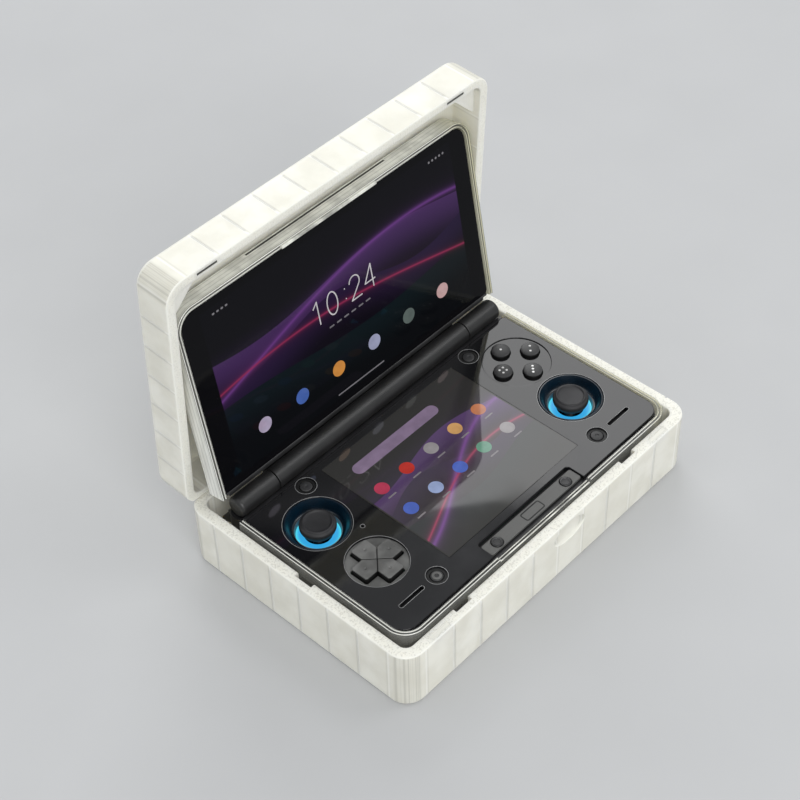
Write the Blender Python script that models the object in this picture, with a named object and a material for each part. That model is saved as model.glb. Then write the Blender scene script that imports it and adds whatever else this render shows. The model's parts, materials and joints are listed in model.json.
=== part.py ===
"""Hand-held game console with two screens, lying in a printed clamshell case.

Run it with: blender --background --python part.py
Lengths are in metres. +Z is up, +X runs along both hinges and +Y points to the hinges.
The origin is the centre of the case's underside. Both lids are shaped as they lie when
closed, in the frame of their own hinge axis, and an empty on that axis turns them open.
"""
import math

import bmesh
import bpy

MM = 0.001

# Driving sizes of the console
UPPER_DISPLAY_WIDTH = 133.8 * MM
UPPER_DISPLAY_LENGTH = 75.2 * MM
UPPER_DISPLAY_THICKNESS = 2.0 * MM
UPPER_SIDE_BORDER = 8.1 * MM
UPPER_END_BORDER = 3.0 * MM
DISPLAY_WIDTH = 75.1 * MM
DISPLAY_LENGTH = 65.4 * MM
DISPLAY_THICKNESS = 3.3 * MM
DISPLAY_FRONT_GAP = 3.65 * MM
DISPLAY_REAR_GAP = 9.25 * MM
CONTROL_BAY_WIDTH = 37.45 * MM
BODY_HEIGHT = 16.8 * MM
HINGE_RISE = 2.2 * MM
BARREL_RADIUS = 4.5 * MM
LID_THICKNESS = 6.0 * MM
GLASS_RISE = 2.4 * MM

# Clearances
PIECE_GAP = 0.3 * MM
TURN_GAP = 0.4 * MM
ROCK_GAP = 0.6 * MM
LID_LEAN_GAP = 1.21 * MM
OVERRUN = 1.0 * MM
SEAM = 0.5 * MM
WELD = 0.0001 * MM

# Clear shells round the console
SHELL_WALL = 2.2 * MM
SHELL_FLOOR = 1.5 * MM
SHELL_LIP = 0.8 * MM
SHELL_EDGE = 1.0 * MM
SHELL_EASE = 0.35 * MM
SHELL_REAR_GAP = 5.2 * MM
LID_SHELL_FLOOR = 1.3 * MM
LID_CLIP_LENGTH = 50.0 * MM
LID_CLIP_RISE = 0.8 * MM
SHELL_TAB_DROP = 5.0 * MM
FAN_GRILLE_RADIUS = 12.0 * MM

# Outer case
CASE_WALL = 4.2 * MM
CASE_FLOOR = 4.0 * MM
CASE_LID_FLOOR = 2.8 * MM
CASE_BASE_HEIGHT = 28.3 * MM
CASE_CORNER = 8.5 * MM
CASE_BASE_EDGE = 2.0 * MM
CASE_LID_EDGE = 3.15 * MM
CASE_RIM_EASE = 0.5 * MM
CASE_LID_COVE = 1.5 * MM
CASE_RIM_GAP = 0.3 * MM
CASE_SIDE_FIT = 1.6 * MM
CASE_FRONT_FIT = 1.1 * MM
CASE_REAR_ROOM = 10.3 * MM
CASE_CEILING_FIT = 0.4 * MM
CASE_OPEN_ANGLE = math.radians(87.0)
CRADLE_HEIGHT = 7.3 * MM
CRADLE_WIDTH = 3.0 * MM
CRADLE_LENGTH = 72.0 * MM
CRADLE_SHARES = (-0.75, -0.3, 0.3, 0.75)
RELIEF_DEPTH = 2.0 * MM
RELIEF_WIDTH = 8.4 * MM
RELIEF_DROP = 14.0 * MM
SCOOP_WIDTH = 18.5 * MM
SCOOP_HEIGHT = 10.0 * MM
SCOOP_DEPTH = 1.6 * MM
SCOOP_ACROSS_SHARE = 0.09
SCOOP_RISE_SHARE = 0.78

# Case hinge
CASE_AXIS_INSET = 1.9 * MM
RIM_CHAMFER_LEAD = 0.2 * MM
CASE_KNUCKLE_RADIUS = 2.2 * MM
CASE_KNUCKLE_LENGTH = 10.0 * MM
CASE_PIN_RADIUS = 1.0 * MM
CASE_KNUCKLE_SHARE = 0.6
KNUCKLES_IN_GROUP = 3

# Magnets in the rims
MAGNET_LENGTH = 9.4 * MM
BASE_MAGNET_WIDTH = 2.0 * MM
LID_MAGNET_WIDTH = 1.0 * MM
MAGNET_DEPTH = 2.2 * MM
MAGNET_SINK = 0.1 * MM
MAGNET_SHARE = 0.768

# Lower half of the console
BODY_CORNER = 7.0 * MM
BODY_REAR_CORNER = 2.5 * MM
BODY_EDGE = 1.0 * MM
HOUSING_WALL = 2.0 * MM
HOUSING_FLOOR = 1.6 * MM
HOUSING_EASE = 0.3 * MM
PLATE_THICKNESS = 1.6 * MM
PLATE_FRONT_INSET = 1.0 * MM
PLATE_REAR_GAP = 5.6 * MM
PLATE_CORNER = 6.5 * MM
PLATE_REAR_CORNER = 1.5 * MM
DECK_THICKNESS = 2.5 * MM
DECK_LENGTH = 10.8 * MM

# Front tab
TAB_HALF_WIDTH = 26.4 * MM
TAB_LENGTH = 9.3 * MM
TAB_CORNER = 1.5 * MM
TAB_PLATE_LENGTH = 5.9 * MM
TAB_PLATE_THICKNESS = 1.1 * MM
TAB_PLATE_FRONT_GAP = 1.9 * MM
TAB_PLATE_CORNER = 0.8 * MM
TAB_SHELF_THICKNESS = 2.0 * MM
TAB_PAD_RADIUS = 2.4 * MM
TAB_PAD_HEIGHT = 1.4 * MM
TAB_PAD_SHARE = 0.76

# Places on the face: across as a share of the half width, along as a share of the hinge reach
HIGH_CONTROL_SHARES = (0.771, 0.693)
LOW_CONTROL_SHARES = (0.752, 0.360)
REAR_ROUND_SHARES = (0.629, 0.8824)
FRONT_ROUND_SHARES = (0.625, 0.1233)
PINHOLE_SHARES = (-0.635, 0.539)
SPEAKER_SHARES = (0.804, 0.1244)
POWER_ALONG_SHARE = 0.531
JACK_ACROSS_SHARE = -0.66
CARD_ACROSS_SHARE = 0.625
VOLUME_ACROSS_SHARE = -0.253
VENT_ACROSS_SHARE = 0.28

# Thumb sticks
WELL_RADIUS = 13.1 * MM
WELL_RIM = 0.6 * MM
WELL_DEPTH = 5.6 * MM
WELL_FLOOR_RADIUS = 8.6 * MM
WELL_WEB = 0.8 * MM
WELL_HOLE_RADIUS = 5.2 * MM
CUP_HEIGHT = 7.2 * MM
CAN_RADIUS = 9.6 * MM
CAN_WALL = 1.2 * MM
LIGHT_THICKNESS = 0.4 * MM
STICK_PIVOT_DEPTH = 10.0 * MM
ROCKER_RADIUS = 6.0 * MM
ROCKER_BORE = 4.2 * MM
ROCKER_HALF_HEIGHT = 1.2 * MM
TRUNNION_RADIUS = 0.8 * MM
STEM_BODY_RADIUS = 2.4 * MM
STEM_BODY_HALF_HEIGHT = 1.5 * MM
STEM_SHOULDER = 0.9 * MM
POST_RADIUS = 1.5 * MM
STICK_PRESS = 0.4 * MM
CAP_RADIUS = 7.2 * MM
CAP_RIM_RADIUS = 6.2 * MM
CAP_DISH_RADIUS = 5.0 * MM
CAP_DISH_DEPTH = 0.5 * MM
CAP_RISE = 1.4 * MM
CAP_WAIST_DEPTH = 2.0 * MM
CAP_UNDER_DEPTH = 3.2 * MM
CAP_UNDER_INSET = 0.4 * MM
NECK_RADIUS = 2.6 * MM
NECK_DEPTH = 5.4 * MM
POST_TOP_DEPTH = 2.6 * MM

# Direction pad
PAD_DISH_RADIUS = 12.0 * MM
PAD_DISH_DEPTH = 0.8 * MM
PAD_ARM_HALF_WIDTH = 3.9 * MM
PAD_REACH = 9.8 * MM
PAD_RISE = 1.5 * MM
PAD_EASE = 0.4 * MM
PAD_SINK = 2.4 * MM
PAD_POST_RADIUS = 2.2 * MM
PAD_POST_DEPTH = 7.5 * MM
PAD_PIVOT_DEPTH = 6.5 * MM
PAD_RING_BORE = 3.4 * MM
PAD_RING_RADIUS = 4.7 * MM
PAD_RING_HALF_HEIGHT = 0.8 * MM
PAD_SOCKET_WALL = 1.6 * MM
PAD_SOCKET_DEPTH = 5.0 * MM
PAD_TRUNNION_RADIUS = 0.5 * MM
PAD_TRUNNION_REACH = 0.7 * MM

# Face buttons
BUTTON_DISC_RADIUS = 14.1 * MM
BUTTON_DISC_DEPTH = 0.4 * MM
BUTTON_OFFSET = 8.5 * MM
BUTTON_RADIUS = 3.9 * MM
BUTTON_RISE = 1.5 * MM
BUTTON_DOME = 0.5 * MM
BUTTON_FLANGE = 0.7 * MM
BUTTON_FLANGE_THICKNESS = 0.8 * MM
BUTTON_TRAVEL = 1.0 * MM
BUTTON_STEM_RADIUS = 1.8 * MM

# Small round buttons
ROUND_RECESS_RADIUS = 4.0 * MM
ROUND_RECESS_DEPTH = 0.6 * MM
ROUND_RADIUS = 2.5 * MM
ROUND_SINK = 0.2 * MM
ROUND_TRAVEL = 0.6 * MM
ROUND_EASE = 0.3 * MM
PINHOLE_RADIUS = 0.6 * MM

# Speakers
SLOT_LENGTH = 12.7 * MM
SLOT_WIDTH = 1.7 * MM
SPEAKER_WIDTH = 14.0 * MM
SPEAKER_LENGTH = 9.0 * MM
SPEAKER_CORNER = 2.0 * MM

# Inner works
BOARD_THICKNESS = 1.2 * MM
BOARD_DEPTH = 7.5 * MM
BOARD_MARGIN = 1.0 * MM
BOARD_REAR_GAP = 8.2 * MM
BATTERY_WIDTH = 68.0 * MM
BATTERY_LENGTH = 39.0 * MM
BATTERY_CORNER = 2.0 * MM
BATTERY_FRONT_GAP = 3.4 * MM
FAN_SIDE = 30.0 * MM
FAN_CORNER = 2.0 * MM
FAN_BATTERY_GAP = 2.0 * MM
FAN_FLOOR = 1.0 * MM
FAN_CAVITY_RADIUS = 13.2 * MM
FAN_BLADE_GAP = 0.6 * MM
FAN_LIFT = 0.8 * MM
FAN_HUB_RADIUS = 5.0 * MM
FAN_POST_RADIUS = 1.2 * MM
FAN_POST_LENGTH = 3.0 * MM
FAN_HUB_TOP = 1.0 * MM
FAN_BLADE_THICKNESS = 0.8 * MM
FAN_BLADES = 7
INTAKE_RADIUS = 1.8 * MM
INTAKE_CIRCLE_RADIUS = 8.6 * MM
INTAKES = 6
VENT_WIDTH = 2.0 * MM
VENT_PITCH = 3.6 * MM
VENT_HEIGHT = 6.0 * MM
VENTS = 5

# Ports and edge keys
PORT_RISE = 5.2 * MM
PORT_WALL = 0.4 * MM
USB_WIDTH = 9.0 * MM
USB_HEIGHT = 3.3 * MM
USB_LENGTH = 8.0 * MM
JACK_RADIUS = 2.9 * MM
JACK_BORE = 1.8 * MM
JACK_LENGTH = 13.0 * MM
CARD_WIDTH = 13.0 * MM
CARD_HEIGHT = 2.6 * MM
CARD_LENGTH = 14.0 * MM
POWER_LENGTH = 5.4 * MM
POWER_HEIGHT = 2.6 * MM
POWER_PROUD = 0.7 * MM
VOLUME_LENGTH = 13.4 * MM
VOLUME_HEIGHT = 3.2 * MM
VOLUME_PROUD = 0.5 * MM
KEY_FLANGE = 0.6 * MM
KEY_FLANGE_THICKNESS = 0.8 * MM
KEY_CORNER = 0.6 * MM

# Bumpers and triggers
SHOULDER_WIDTH = 20.6 * MM
SHOULDER_SIDE_GAP = 3.1 * MM
SHOULDER_OPENING_SLACK = 0.8 * MM
BUMPER_HEIGHT = 3.2 * MM
BUMPER_PROUD = 3.0 * MM
BUMPER_INSET = 4.2 * MM
BUMPER_AXIS_INSET = 2.7 * MM
BUMPER_EASE = 1.2 * MM
TRIGGER_RISE = 6.8 * MM
TRIGGER_AXIS_PROUD = 0.8 * MM
TRIGGER_SWEEP = 6.6 * MM
TRIGGER_OUTLINE_SHARES = (
    (-0.40, 0.12), (0.32, 0.12), (0.68, -0.06), (0.92, -0.42), (1.0, -0.80),
    (0.80, -0.82), (0.62, -0.62), (0.40, -0.50), (-0.40, -0.50),
)

# Console hinge
BARREL_HALF_LENGTH = 54.5 * MM
KNUCKLE_END_GAP = 0.8 * MM
KNUCKLE_END_ROUND = 1.5 * MM
HINGE_PIN_RADIUS = 1.5 * MM
HINGE_PIN_LENGTH = 22.0 * MM
HINGE_PIN_ENTRY = 8.5 * MM

# Console lid
LID_CORNER = 7.0 * MM
LID_REAR_CORNER = 2.0 * MM
LID_EDGE = 1.5 * MM
LID_FOOT = 5.2 * MM
GLASS_FOOT = 6.4 * MM
GLASS_THICKNESS = 1.2 * MM
SADDLE_FOOT = 0.8 * MM

# Fineness of round shapes
CORNER_STEPS = 4
SMALL_CORNER_STEPS = 2
EDGE_STEPS = 3
ROUND_STEPS = 24
SMALL_STEPS = 14
TINY_STEPS = 10
SHARP_ANGLE = math.radians(32.0)

# Worked-out places of the console: each display with its borders sets how wide and how deep it is
BODY_WIDTH = max(UPPER_DISPLAY_WIDTH + UPPER_SIDE_BORDER * 2, DISPLAY_WIDTH + CONTROL_BAY_WIDTH * 2)
HINGE_REACH = max(UPPER_DISPLAY_LENGTH + UPPER_END_BORDER * 2 + GLASS_FOOT,
                  TAB_LENGTH + DISPLAY_FRONT_GAP + DISPLAY_LENGTH + DISPLAY_REAR_GAP)
BODY_HALF = BODY_WIDTH / 2
SHELL_HALF = BODY_HALF + PIECE_GAP + SHELL_WALL
CASE_HALF = SHELL_HALF + CASE_SIDE_FIT + CASE_WALL
SHELL_REACH = HINGE_REACH + PIECE_GAP + SHELL_WALL
CASE_DEPTH = CASE_WALL * 2 + CASE_FRONT_FIT + SHELL_REACH + BARREL_RADIUS + CASE_REAR_ROOM
CASE_FRONT = -CASE_DEPTH / 2
CASE_REAR = CASE_DEPTH / 2
SHELL_FRONT = CASE_FRONT + CASE_WALL + CASE_FRONT_FIT
BODY_FRONT = SHELL_FRONT + SHELL_WALL + PIECE_GAP
HINGE_Y = BODY_FRONT + HINGE_REACH
BODY_REAR = HINGE_Y + BARREL_RADIUS
SHELL_BOTTOM = CASE_FLOOR + CRADLE_HEIGHT + PIECE_GAP
HOUSING_BOTTOM = SHELL_BOTTOM + SHELL_FLOOR + PIECE_GAP
FACE = HOUSING_BOTTOM + BODY_HEIGHT
HINGE_Z = FACE + HINGE_RISE
HOUSING_TOP = FACE - PLATE_THICKNESS - PIECE_GAP
HOUSING_INSIDE = HOUSING_BOTTOM + HOUSING_FLOOR
BOARD_TOP = FACE - BOARD_DEPTH
BOARD_BOTTOM = BOARD_TOP - BOARD_THICKNESS
PORT_Z = HOUSING_BOTTOM + PORT_RISE

# Worked-out places of the lids, from their own hinge axes
COVER_TOP = GLASS_RISE + LID_THICKNESS
COVER_BOTTOM = GLASS_RISE + GLASS_THICKNESS + PIECE_GAP
LID_SHELL_TOP = COVER_TOP + PIECE_GAP + LID_SHELL_FLOOR
CASE_TOP = HINGE_Z + LID_SHELL_TOP + CASE_CEILING_FIT + CASE_LID_FLOOR
CASE_AXIS_Y = CASE_REAR - CASE_AXIS_INSET
CASE_AXIS_Z = CASE_BASE_HEIGHT + CASE_RIM_GAP / 2
CASE_CEILING = CASE_TOP - CASE_LID_FLOOR - CASE_AXIS_Z

# Finishes: colour, roughness and metallic value
PRINTED = ((0.78, 0.77, 0.72, 1.0), 0.5, 0.0)
CLEAR = ((0.82, 0.86, 0.86, 1.0), 0.06, 0.0)
BLACK_GLOSS = ((0.012, 0.012, 0.014, 1.0), 0.08, 0.0)
BLACK_MATT = ((0.02, 0.02, 0.021, 1.0), 0.55, 0.0)
DARK_RUBBER = ((0.035, 0.035, 0.038, 1.0), 0.75, 0.0)
WELL_BLUE = ((0.01, 0.045, 0.075, 1.0), 0.35, 0.0)
LIGHT_CYAN = ((0.25, 0.85, 0.95, 1.0), 0.3, 0.0)
GREY_METAL = ((0.12, 0.12, 0.13, 1.0), 0.35, 0.8)
STEEL = ((0.55, 0.55, 0.56, 1.0), 0.3, 1.0)
SCREEN = ((0.03, 0.02, 0.05, 1.0), 0.05, 0.0)
BOARD_GREEN = ((0.01, 0.09, 0.05, 1.0), 0.45, 0.0)
FOIL = ((0.09, 0.09, 0.1, 1.0), 0.5, 0.0)

SIDES = ((-1, "left"), (1, "right"))
AXES = {
    "X": lambda a, b, h: (h, a, b),
    "Y": lambda a, b, h: (b, h, a),
    "Z": lambda a, b, h: (a, b, h),
}


class Solid:
    """Closed bodies gathered into one mesh."""

    def __init__(self):
        self.points = []
        self.faces = []

    def loft(self, rings, closed=False):
        """Skins a stack of equal rings, and caps its two ends unless the stack closes on itself."""
        start = len(self.points)
        count = len(rings[0])
        for ring in rings:
            self.points.extend(ring)
        spans = len(rings) if closed else len(rings) - 1
        for span in range(spans):
            low = start + span * count
            high = start + (span + 1) % len(rings) * count
            for step in range(count):
                turn = (step + 1) % count
                self.faces.append((low + step, low + turn, high + turn, high + step))
        if not closed:
            last = start + (len(rings) - 1) * count
            self.faces.append(tuple(reversed(range(start, start + count))))
            self.faces.append(tuple(range(last, last + count)))
        return self

    def levels(self, levels, axis="Z"):
        """Skins outlines at their heights along an axis."""
        place = AXES[axis]
        return self.loft([[place(a, b, height) for a, b in outline] for outline, height in levels])

    def extrude(self, outline, low, high, axis="Z"):
        """A straight body with one outline."""
        return self.levels([(outline, low), (outline, high)], axis)

    def box(self, across, along, height):
        """A plain block from pairs of limits, in any order."""
        x0, x1 = sorted(across)
        y0, y1 = sorted(along)
        return self.extrude([(x0, y0), (x1, y0), (x1, y1), (x0, y1)], *sorted(height))

    def spin(self, profile, centre, axis="Z", steps=ROUND_STEPS, closed=False):
        """Turns a profile of (radius, height) about a centre. A closed profile makes a ring."""
        rings = []
        for radius, height in profile:
            ring = []
            for step in range(steps):
                angle = math.tau * step / steps
                a, b, h = AXES[axis](radius * math.cos(angle), radius * math.sin(angle), height)
                ring.append((centre[0] + a, centre[1] + b, centre[2] + h))
            rings.append(ring)
        return self.loft(rings, closed)

    def rod(self, radius, low, high, centre, axis="Z", steps=ROUND_STEPS):
        """A plain round bar or a round cutter."""
        return self.spin([(radius, low), (radius, high)], centre, axis, steps)


def rounded(left, right, front, rear, corner, rear_corner=None, steps=CORNER_STEPS):
    """A rectangle with round corners, as points that run anticlockwise."""
    back = corner if rear_corner is None else rear_corner
    quarters = (
        (right - corner, front + corner, corner, -90.0),
        (right - back, rear - back, back, 0.0),
        (left + back, rear - back, back, 90.0),
        (left + corner, front + corner, corner, 180.0),
    )
    points = []
    for x, y, radius, start in quarters:
        for step in range(steps + 1):
            angle = math.radians(start + 90.0 * step / steps)
            points.append((x + radius * math.cos(angle), y + radius * math.sin(angle)))
    return points


def centred(x, y, width, length, corner, steps=SMALL_CORNER_STEPS):
    """A small rectangle with round corners about its middle."""
    return rounded(x - width / 2, x + width / 2, y - length / 2, y + length / 2, corner, steps=steps)


def cross(half_width, reach):
    """The outline of a plus sign about the origin."""
    quarter = [(half_width, -reach), (half_width, -half_width), (reach, -half_width)]
    points = []
    for turn in range(4):
        cosine, sine = round(math.cos(math.pi / 2 * turn)), round(math.sin(math.pi / 2 * turn))
        points.extend((x * cosine - y * sine, x * sine + y * cosine) for x, y in quarter)
    return points


def moved(outline, x, y):
    """An outline shifted to a place."""
    return [(a + x, b + y) for a, b in outline]


def on_face(shares, side=1):
    """A place on the console's face from its shares."""
    return side * shares[0] * BODY_HALF, BODY_FRONT + shares[1] * HINGE_REACH


def power_place():
    """Where the power key sits along the left wall."""
    return BODY_FRONT + POWER_ALONG_SHARE * HINGE_REACH


def material(name, finish):
    """A Principled material from a finish."""
    colour, roughness, metallic = finish
    surface = bpy.data.materials.new(name)
    surface.use_nodes = True
    shader = surface.node_tree.nodes["Principled BSDF"]
    shader.inputs["Base Color"].default_value = colour
    shader.inputs["Roughness"].default_value = roughness
    shader.inputs["Metallic"].default_value = metallic
    surface.diffuse_color = colour
    return surface


def place_mesh(name, solid, origin, parent):
    """A mesh object whose origin is at the given point of its parent's frame."""
    mesh = bpy.data.meshes.new(name)
    shifted = [tuple(value - zero for value, zero in zip(point, origin)) for point in solid.points]
    mesh.from_pydata(shifted, [], solid.faces)
    work = bmesh.new()
    work.from_mesh(mesh)
    bmesh.ops.remove_doubles(work, verts=work.verts, dist=WELD)
    bmesh.ops.dissolve_degenerate(work, edges=work.edges, dist=WELD)
    bmesh.ops.recalc_face_normals(work, faces=work.faces)
    work.to_mesh(mesh)
    work.free()
    item = bpy.data.objects.new(name, mesh)
    bpy.context.scene.collection.objects.link(item)
    item.parent = parent
    item.location = origin
    return item


def node(name, solid, finish, parent=None, origin=(0, 0, 0)):
    """A named piece with its own material."""
    item = place_mesh(name, solid, origin, parent)
    item.data.materials.append(material(name + "_finish", finish))
    item.data.shade_smooth()
    item.data.set_sharp_from_angle(angle=SHARP_ANGLE)
    return item


def combine(item, solid, operation):
    """Adds a Boolean with a hidden solid, written in the piece's parent frame."""
    tool = place_mesh(item.name + "_tool", solid, (0, 0, 0), item.parent)
    tool.hide_render = True
    tool.display_type = "WIRE"
    change = item.modifiers.new(operation.title(), "BOOLEAN")
    change.object = tool
    change.operation = operation
    change.solver = "EXACT"


def cut(item, solid):
    """Takes a solid away from a piece."""
    combine(item, solid, "DIFFERENCE")


def join(item, solid):
    """Grows a piece by a solid that overlaps it."""
    combine(item, solid, "UNION")


def lid_open_angle():
    """How far the console's lid opens: it leans back until its shell stands just off the case's lid."""
    sine, cosine = math.sin(CASE_OPEN_ANGLE), math.cos(CASE_OPEN_ANGLE)
    axis_height = (HINGE_Y - CASE_AXIS_Y) * sine + (HINGE_Z - CASE_AXIS_Z) * cosine
    room = CASE_CEILING - LID_LEAN_GAP - axis_height
    lean = math.asin(room / math.hypot(SHELL_REACH, LID_SHELL_TOP)) - math.atan2(LID_SHELL_TOP, SHELL_REACH)
    return CASE_OPEN_ANGLE + lean


def hinge_empty(name, y, z, open_angle):
    """An empty on a hinge axis, turned so that what it carries stands open."""
    empty = bpy.data.objects.new(name, None)
    bpy.context.scene.collection.objects.link(empty)
    empty.location = (0, y, z)
    empty.rotation_euler = (-open_angle, 0, 0)
    return empty


def tray(half, front, rear, base, rim, wall, floor, corner, edge, ease, rear_corner=None, cove=None):
    """A rounded tray: base is its closed side and rim its open side, which may lie above or below."""
    way = math.copysign(1, rim - base)
    back = corner if rear_corner is None else rear_corner

    def ring(inset):
        return rounded(-half + inset, half - inset, front + inset, rear - inset,
                       max(corner - inset, ease), max(back - inset, ease))

    levels = []
    for step in range(EDGE_STEPS + 1):
        angle = math.pi / 2 * step / EDGE_STEPS
        levels.append((ring(edge * (1 - math.sin(angle))), base + way * edge * (1 - math.cos(angle))))
    levels.append((ring(0), rim - way * ease))
    levels.append((ring(ease), rim))
    levels.append((ring(wall - ease), rim))
    levels.append((ring(wall), rim - way * ease))
    if cove is None:
        levels.append((ring(wall), base + way * floor))
    else:
        levels.append((ring(wall), base + way * (floor + cove)))
        levels.append((ring(wall + cove), base + way * floor))
    return Solid().levels(levels)


def socket(outer, inner, back, front, depth, axis):
    """A plug socket: a blind hole of one outline in a body of another."""
    way = math.copysign(1, front - back)
    return Solid().levels([(outer, back), (outer, front), (inner, front), (inner, front - way * depth)], axis)


def rim_wedge(rim_y, rim_z, way):
    """The strip taken off a rear rim so that both rims clear each other when the case opens."""
    outline = [
        (rim_y - OVERRUN, rim_z + way * OVERRUN),
        (CASE_REAR - CASE_AXIS_Y + rim_y + OVERRUN, rim_z + way * OVERRUN),
    ]
    run = CASE_REAR - CASE_AXIS_Y + OVERRUN
    outline.append((rim_y + run, rim_z - way * run))
    return Solid().extrude(outline, -CASE_HALF - OVERRUN, CASE_HALF + OVERRUN, "X")


def knuckle_spans():
    """Limits along X of the case hinge's knuckles: two on the base, one on the lid, on each side."""
    base, lid = [], []
    for side, _ in SIDES:
        middle = side * CASE_KNUCKLE_SHARE * CASE_HALF
        half = CASE_KNUCKLE_LENGTH / 2
        lid.append((middle - half, middle + half))
        for way in (-1, 1):
            near = middle + way * (half + PIECE_GAP)
            base.append(tuple(sorted((near, near + way * CASE_KNUCKLE_LENGTH))))
    return base, lid


def knuckles(spans, y, z, radius, margin=0.0):
    """Round bars over the given spans, for knuckles, their clearances and their bores."""
    solid = Solid()
    for low, high in spans:
        solid.rod(radius, low - margin, high + margin, (0, y, z), "X", SMALL_STEPS)
    return solid


def magnet_pocket(side, y, rim, way, width):
    """The pocket in a rim that a magnet sits in."""
    x = side * MAGNET_SHARE * CASE_HALF
    half = MAGNET_LENGTH / 2 + PIECE_GAP
    depth = MAGNET_DEPTH + MAGNET_SINK + PIECE_GAP
    return Solid().box((x - half, x + half), (y - width / 2 - PIECE_GAP, y + width / 2 + PIECE_GAP),
                       (rim + way * OVERRUN, rim - way * depth))


def magnet(side, y, rim, way, width):
    """A bar magnet just below a rim."""
    x = side * MAGNET_SHARE * CASE_HALF
    top = rim - way * MAGNET_SINK
    return Solid().box((x - MAGNET_LENGTH / 2, x + MAGNET_LENGTH / 2), (y - width / 2, y + width / 2),
                       (top, top - way * MAGNET_DEPTH))


def case_base():
    """The case's lower tray, with the ribs that carry the console."""
    body = tray(CASE_HALF, CASE_FRONT, CASE_REAR, 0, CASE_BASE_HEIGHT, CASE_WALL, CASE_FLOOR,
                CASE_CORNER, CASE_BASE_EDGE, CASE_RIM_EASE)
    item = node("case_base", body, PRINTED)
    ribs = Solid()
    for share in CRADLE_SHARES:
        x = share * BODY_HALF
        ribs.box((x - CRADLE_WIDTH / 2, x + CRADLE_WIDTH / 2),
                 (HINGE_Y - SHELL_REAR_GAP - CRADLE_LENGTH, HINGE_Y - SHELL_REAR_GAP),
                 (CASE_FLOOR - SEAM, CASE_FLOOR + CRADLE_HEIGHT))
    join(item, ribs)
    cut(item, rim_wedge(CASE_AXIS_Y - RIM_CHAMFER_LEAD, CASE_BASE_HEIGHT, 1))
    base_spans, lid_spans = knuckle_spans()
    join(item, knuckles(base_spans, CASE_AXIS_Y, CASE_AXIS_Z, CASE_KNUCKLE_RADIUS))
    cut(item, knuckles(lid_spans, CASE_AXIS_Y, CASE_AXIS_Z, CASE_KNUCKLE_RADIUS + PIECE_GAP, PIECE_GAP))
    cut(item, case_pin_bores(CASE_AXIS_Y, CASE_AXIS_Z))
    cut(item, case_reliefs())
    magnet_y = CASE_FRONT + CASE_WALL / 2
    for side, label in SIDES:
        cut(item, magnet_pocket(side, magnet_y, CASE_BASE_HEIGHT, 1, BASE_MAGNET_WIDTH))
        node("base_magnet_" + label, magnet(side, magnet_y, CASE_BASE_HEIGHT, 1, BASE_MAGNET_WIDTH), STEEL)
    return item


def case_pin_bores(y, z):
    """The bores through both groups of case knuckles."""
    solid = Solid()
    for side, _ in SIDES:
        middle = side * CASE_KNUCKLE_SHARE * CASE_HALF
        half = CASE_KNUCKLE_LENGTH * KNUCKLES_IN_GROUP / 2 + PIECE_GAP + OVERRUN
        solid.rod(CASE_PIN_RADIUS + PIECE_GAP, middle - half, middle + half, (0, y, z), "X", TINY_STEPS)
    return solid


def case_reliefs():
    """Hollows in the tray's wall that reach the ports and the power key, and the thumb scoop."""
    solid = Solid()
    inner_front = CASE_FRONT + CASE_WALL
    heights = (CASE_BASE_HEIGHT - RELIEF_DROP, CASE_BASE_HEIGHT + OVERRUN)
    for share in (JACK_ACROSS_SHARE, CARD_ACROSS_SHARE):
        x = share * BODY_HALF
        solid.box((x - RELIEF_WIDTH / 2, x + RELIEF_WIDTH / 2),
                  (inner_front - RELIEF_DEPTH, inner_front + OVERRUN), heights)
    inner_side = -CASE_HALF + CASE_WALL
    power_y = power_place()
    solid.box((inner_side - RELIEF_DEPTH, inner_side + OVERRUN),
              (power_y - RELIEF_WIDTH / 2, power_y + RELIEF_WIDTH / 2), heights)
    scoop = []
    for step in range(-EDGE_STEPS, EDGE_STEPS + 1):
        angle = math.pi / 2 * step / (EDGE_STEPS + 1)
        scoop.append((SCOOP_WIDTH / 2 * math.cos(angle), SCOOP_DEPTH * math.sin(angle)))
    centre = (SCOOP_ACROSS_SHARE * CASE_HALF, CASE_FRONT, SCOOP_RISE_SHARE * CASE_BASE_HEIGHT)
    flatten = SCOOP_HEIGHT / SCOOP_WIDTH
    dish = Solid().spin(scoop, (0, 0, 0), "Y", SMALL_STEPS)
    start = len(solid.points)
    solid.points.extend((centre[0] + x, centre[1] + y, centre[2] + z * flatten) for x, y, z in dish.points)
    solid.faces.extend(tuple(start + corner for corner in face) for face in dish.faces)
    return solid


def case_lid(axis):
    """The case's upper tray, in the frame of the case hinge."""
    rim = CASE_RIM_GAP / 2
    front, rear = CASE_FRONT - CASE_AXIS_Y, CASE_REAR - CASE_AXIS_Y
    body = tray(CASE_HALF, front, rear, CASE_TOP - CASE_AXIS_Z, rim, CASE_WALL, CASE_LID_FLOOR,
                CASE_CORNER, CASE_LID_EDGE, CASE_RIM_EASE, cove=CASE_LID_COVE)
    item = node("case_lid", body, PRINTED, axis)
    cut(item, rim_wedge(-RIM_CHAMFER_LEAD, rim, -1))
    base_spans, lid_spans = knuckle_spans()
    join(item, knuckles(lid_spans, 0, 0, CASE_KNUCKLE_RADIUS))
    cut(item, knuckles(base_spans, 0, 0, CASE_KNUCKLE_RADIUS + PIECE_GAP, PIECE_GAP))
    cut(item, case_pin_bores(0, 0))
    magnet_y = front + CASE_WALL / 2
    for side, label in SIDES:
        cut(item, magnet_pocket(side, magnet_y, rim, -1, LID_MAGNET_WIDTH))
        node("lid_magnet_" + label, magnet(side, magnet_y, rim, -1, LID_MAGNET_WIDTH), STEEL, axis)
    return item


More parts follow.
